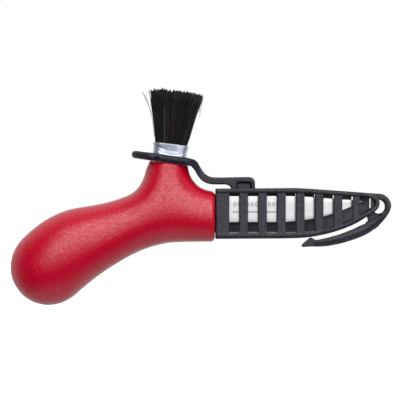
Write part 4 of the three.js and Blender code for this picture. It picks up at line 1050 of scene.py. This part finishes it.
# ------------------------------------------------------------------ stage, light and camera
def build_floor():
    """A plain pale floor below the object, seen by the camera only, so that the soft light on the object stays even."""
    n = Nodes("floor_pale")
    soft = n.noise(2, 2)
    n.shade(color=n.mix(n.ramp(soft, 0.3, 0.7), (0.62, 0.62, 0.625), (0.64, 0.64, 0.64)), rough=0.95, spec=0.0, emit=0.62, emit_color=(1, 1, 1))
    xs = np.concatenate([[-4000, -1500], np.linspace(-600, 600, 13), [1500, 4000]])
    v = np.array([[x, y, -135.0] for y in xs for x in xs])
    k = len(xs)
    q = np.array([[i * k + j, i * k + j + 1, (i + 1) * k + j + 1, (i + 1) * k + j] for i in range(k - 1) for j in range(k - 1)])
    o = new_object("floor", v, q, n.mat)
    o.visible_diffuse = o.visible_glossy = o.visible_transmission = o.visible_shadow = False


def build_world():
    """A large soft light above the camera and a dim card below it, in a dark room in front of a white one."""
    world = bpy.data.worlds.new("studio")
    bpy.context.scene.world = world
    world.use_nodes = True
    t = world.node_tree
    t.nodes.clear()
    out = t.nodes.new("ShaderNodeOutputWorld")
    bg = t.nodes.new("ShaderNodeBackground")
    t.links.new(bg.outputs[0], out.inputs[0])
    sep = t.nodes.new("ShaderNodeSeparateXYZ")
    t.links.new(t.nodes.new("ShaderNodeTexCoord").outputs["Generated"], sep.inputs[0])
    dx, dy, dz = sep.outputs

    def ramp(v, lo, hi, a=0.0, b=1.0, kind="SMOOTHSTEP"):
        n = t.nodes.new("ShaderNodeMapRange")
        n.interpolation_type = kind
        for i, x in zip((1, 2, 3, 4), (lo, hi, a, b)):
            n.inputs[i].default_value = x
        t.links.new(v, n.inputs[0])
        return n.outputs[0]

    def op(kind, a, b=0.0):
        n = t.nodes.new("ShaderNodeMath")
        n.operation = kind
        for i, x in enumerate((a, b)):
            if hasattr(x, "is_output"):
                t.links.new(x, n.inputs[i])
            else:
                n.inputs[i].default_value = x
        return n.outputs[0]

    def product(*terms):
        total = terms[0]
        for x in terms[1:]:
            total = op("MULTIPLY", total, x)
        return total

    # height above the horizon and turn to the right of the camera, in degrees
    up = op("MULTIPLY", op("ARCSINE", dz), 180 / math.pi)
    side = op("MULTIPLY", op("ARCTAN2", dx, op("MULTIPLY", dy, -1.0)), 180 / math.pi)
    level = ramp(up, SOFT_LOW, SOFT_LOW + 8)
    left = ramp(side, -39, -27)
    soft = product(level, ramp(up, 57, 71, 1.0, 0.0), left, ramp(side, 49, 69, 1.0, 0.0), ramp(up, 5, 45, SOFT_A, SOFT_B, "LINEAR"))
    card = product(ramp(up, -20, -12), op("SUBTRACT", 1.0, level), left, ramp(side, 40, 60, 1.0, 0.0), CARD)
    bright = op("ADD", soft, card)
    off = op("SQRT", op("ADD", op("MULTIPLY", up, up), op("MULTIPLY", side, side)))
    hole = ramp(off, 8, 12, 1.0, 0.0)  # the camera's own place in the light
    bright = op("ADD", op("MULTIPLY", bright, op("SUBTRACT", 1.0, hole)), op("MULTIPLY", hole, HOLE))
    behind = ramp(dy, -0.35, 0.45)
    back = ramp(dz, -0.6, 0.1, BACK_LOW, BACK_HIGH)
    front = op("ADD", ramp(dz, -1.0, -0.68, UNDER, 0.0), ramp(dz, 0.5, 1.0, 0.0, OVER))
    value = op("ADD", bright, op("ADD", op("MULTIPLY", behind, back), op("MULTIPLY", op("SUBTRACT", 1.0, behind), front)))
    seen = t.nodes.new("ShaderNodeLightPath").outputs["Is Camera Ray"]
    value = op("ADD", op("MULTIPLY", seen, 1.0), op("MULTIPLY", op("SUBTRACT", 1.0, seen), value))
    t.links.new(value, bg.inputs[1])
    bg.inputs[0].default_value = (1.0, 1.0, 1.0, 1.0)


SOFT_LOW, SOFT_A, SOFT_B, CARD, HOLE = -4, 3.2, 3.6, 1.15, 1.05
BACK_LOW, BACK_HIGH, UNDER, OVER = 0.85, 0.85, 0.78, 0.25
build_floor()
build_world()
cam_data = bpy.data.cameras.new("camera")
cam_data.sensor_width = 36
cam_data.lens = 36 * 0.9 / 0.190
cam = bpy.data.objects.new("camera", cam_data)
bpy.context.scene.collection.objects.link(cam)
cam.location = Vector((-0.00736, -0.9, 0.0076)) + Vector(SHIFT)
cam.rotation_euler = (math.pi / 2, 0, 0)
bpy.context.scene.camera = cam
bpy.context.scene.view_settings.view_transform = "Standard"
bpy.context.scene.view_settings.look = "None"
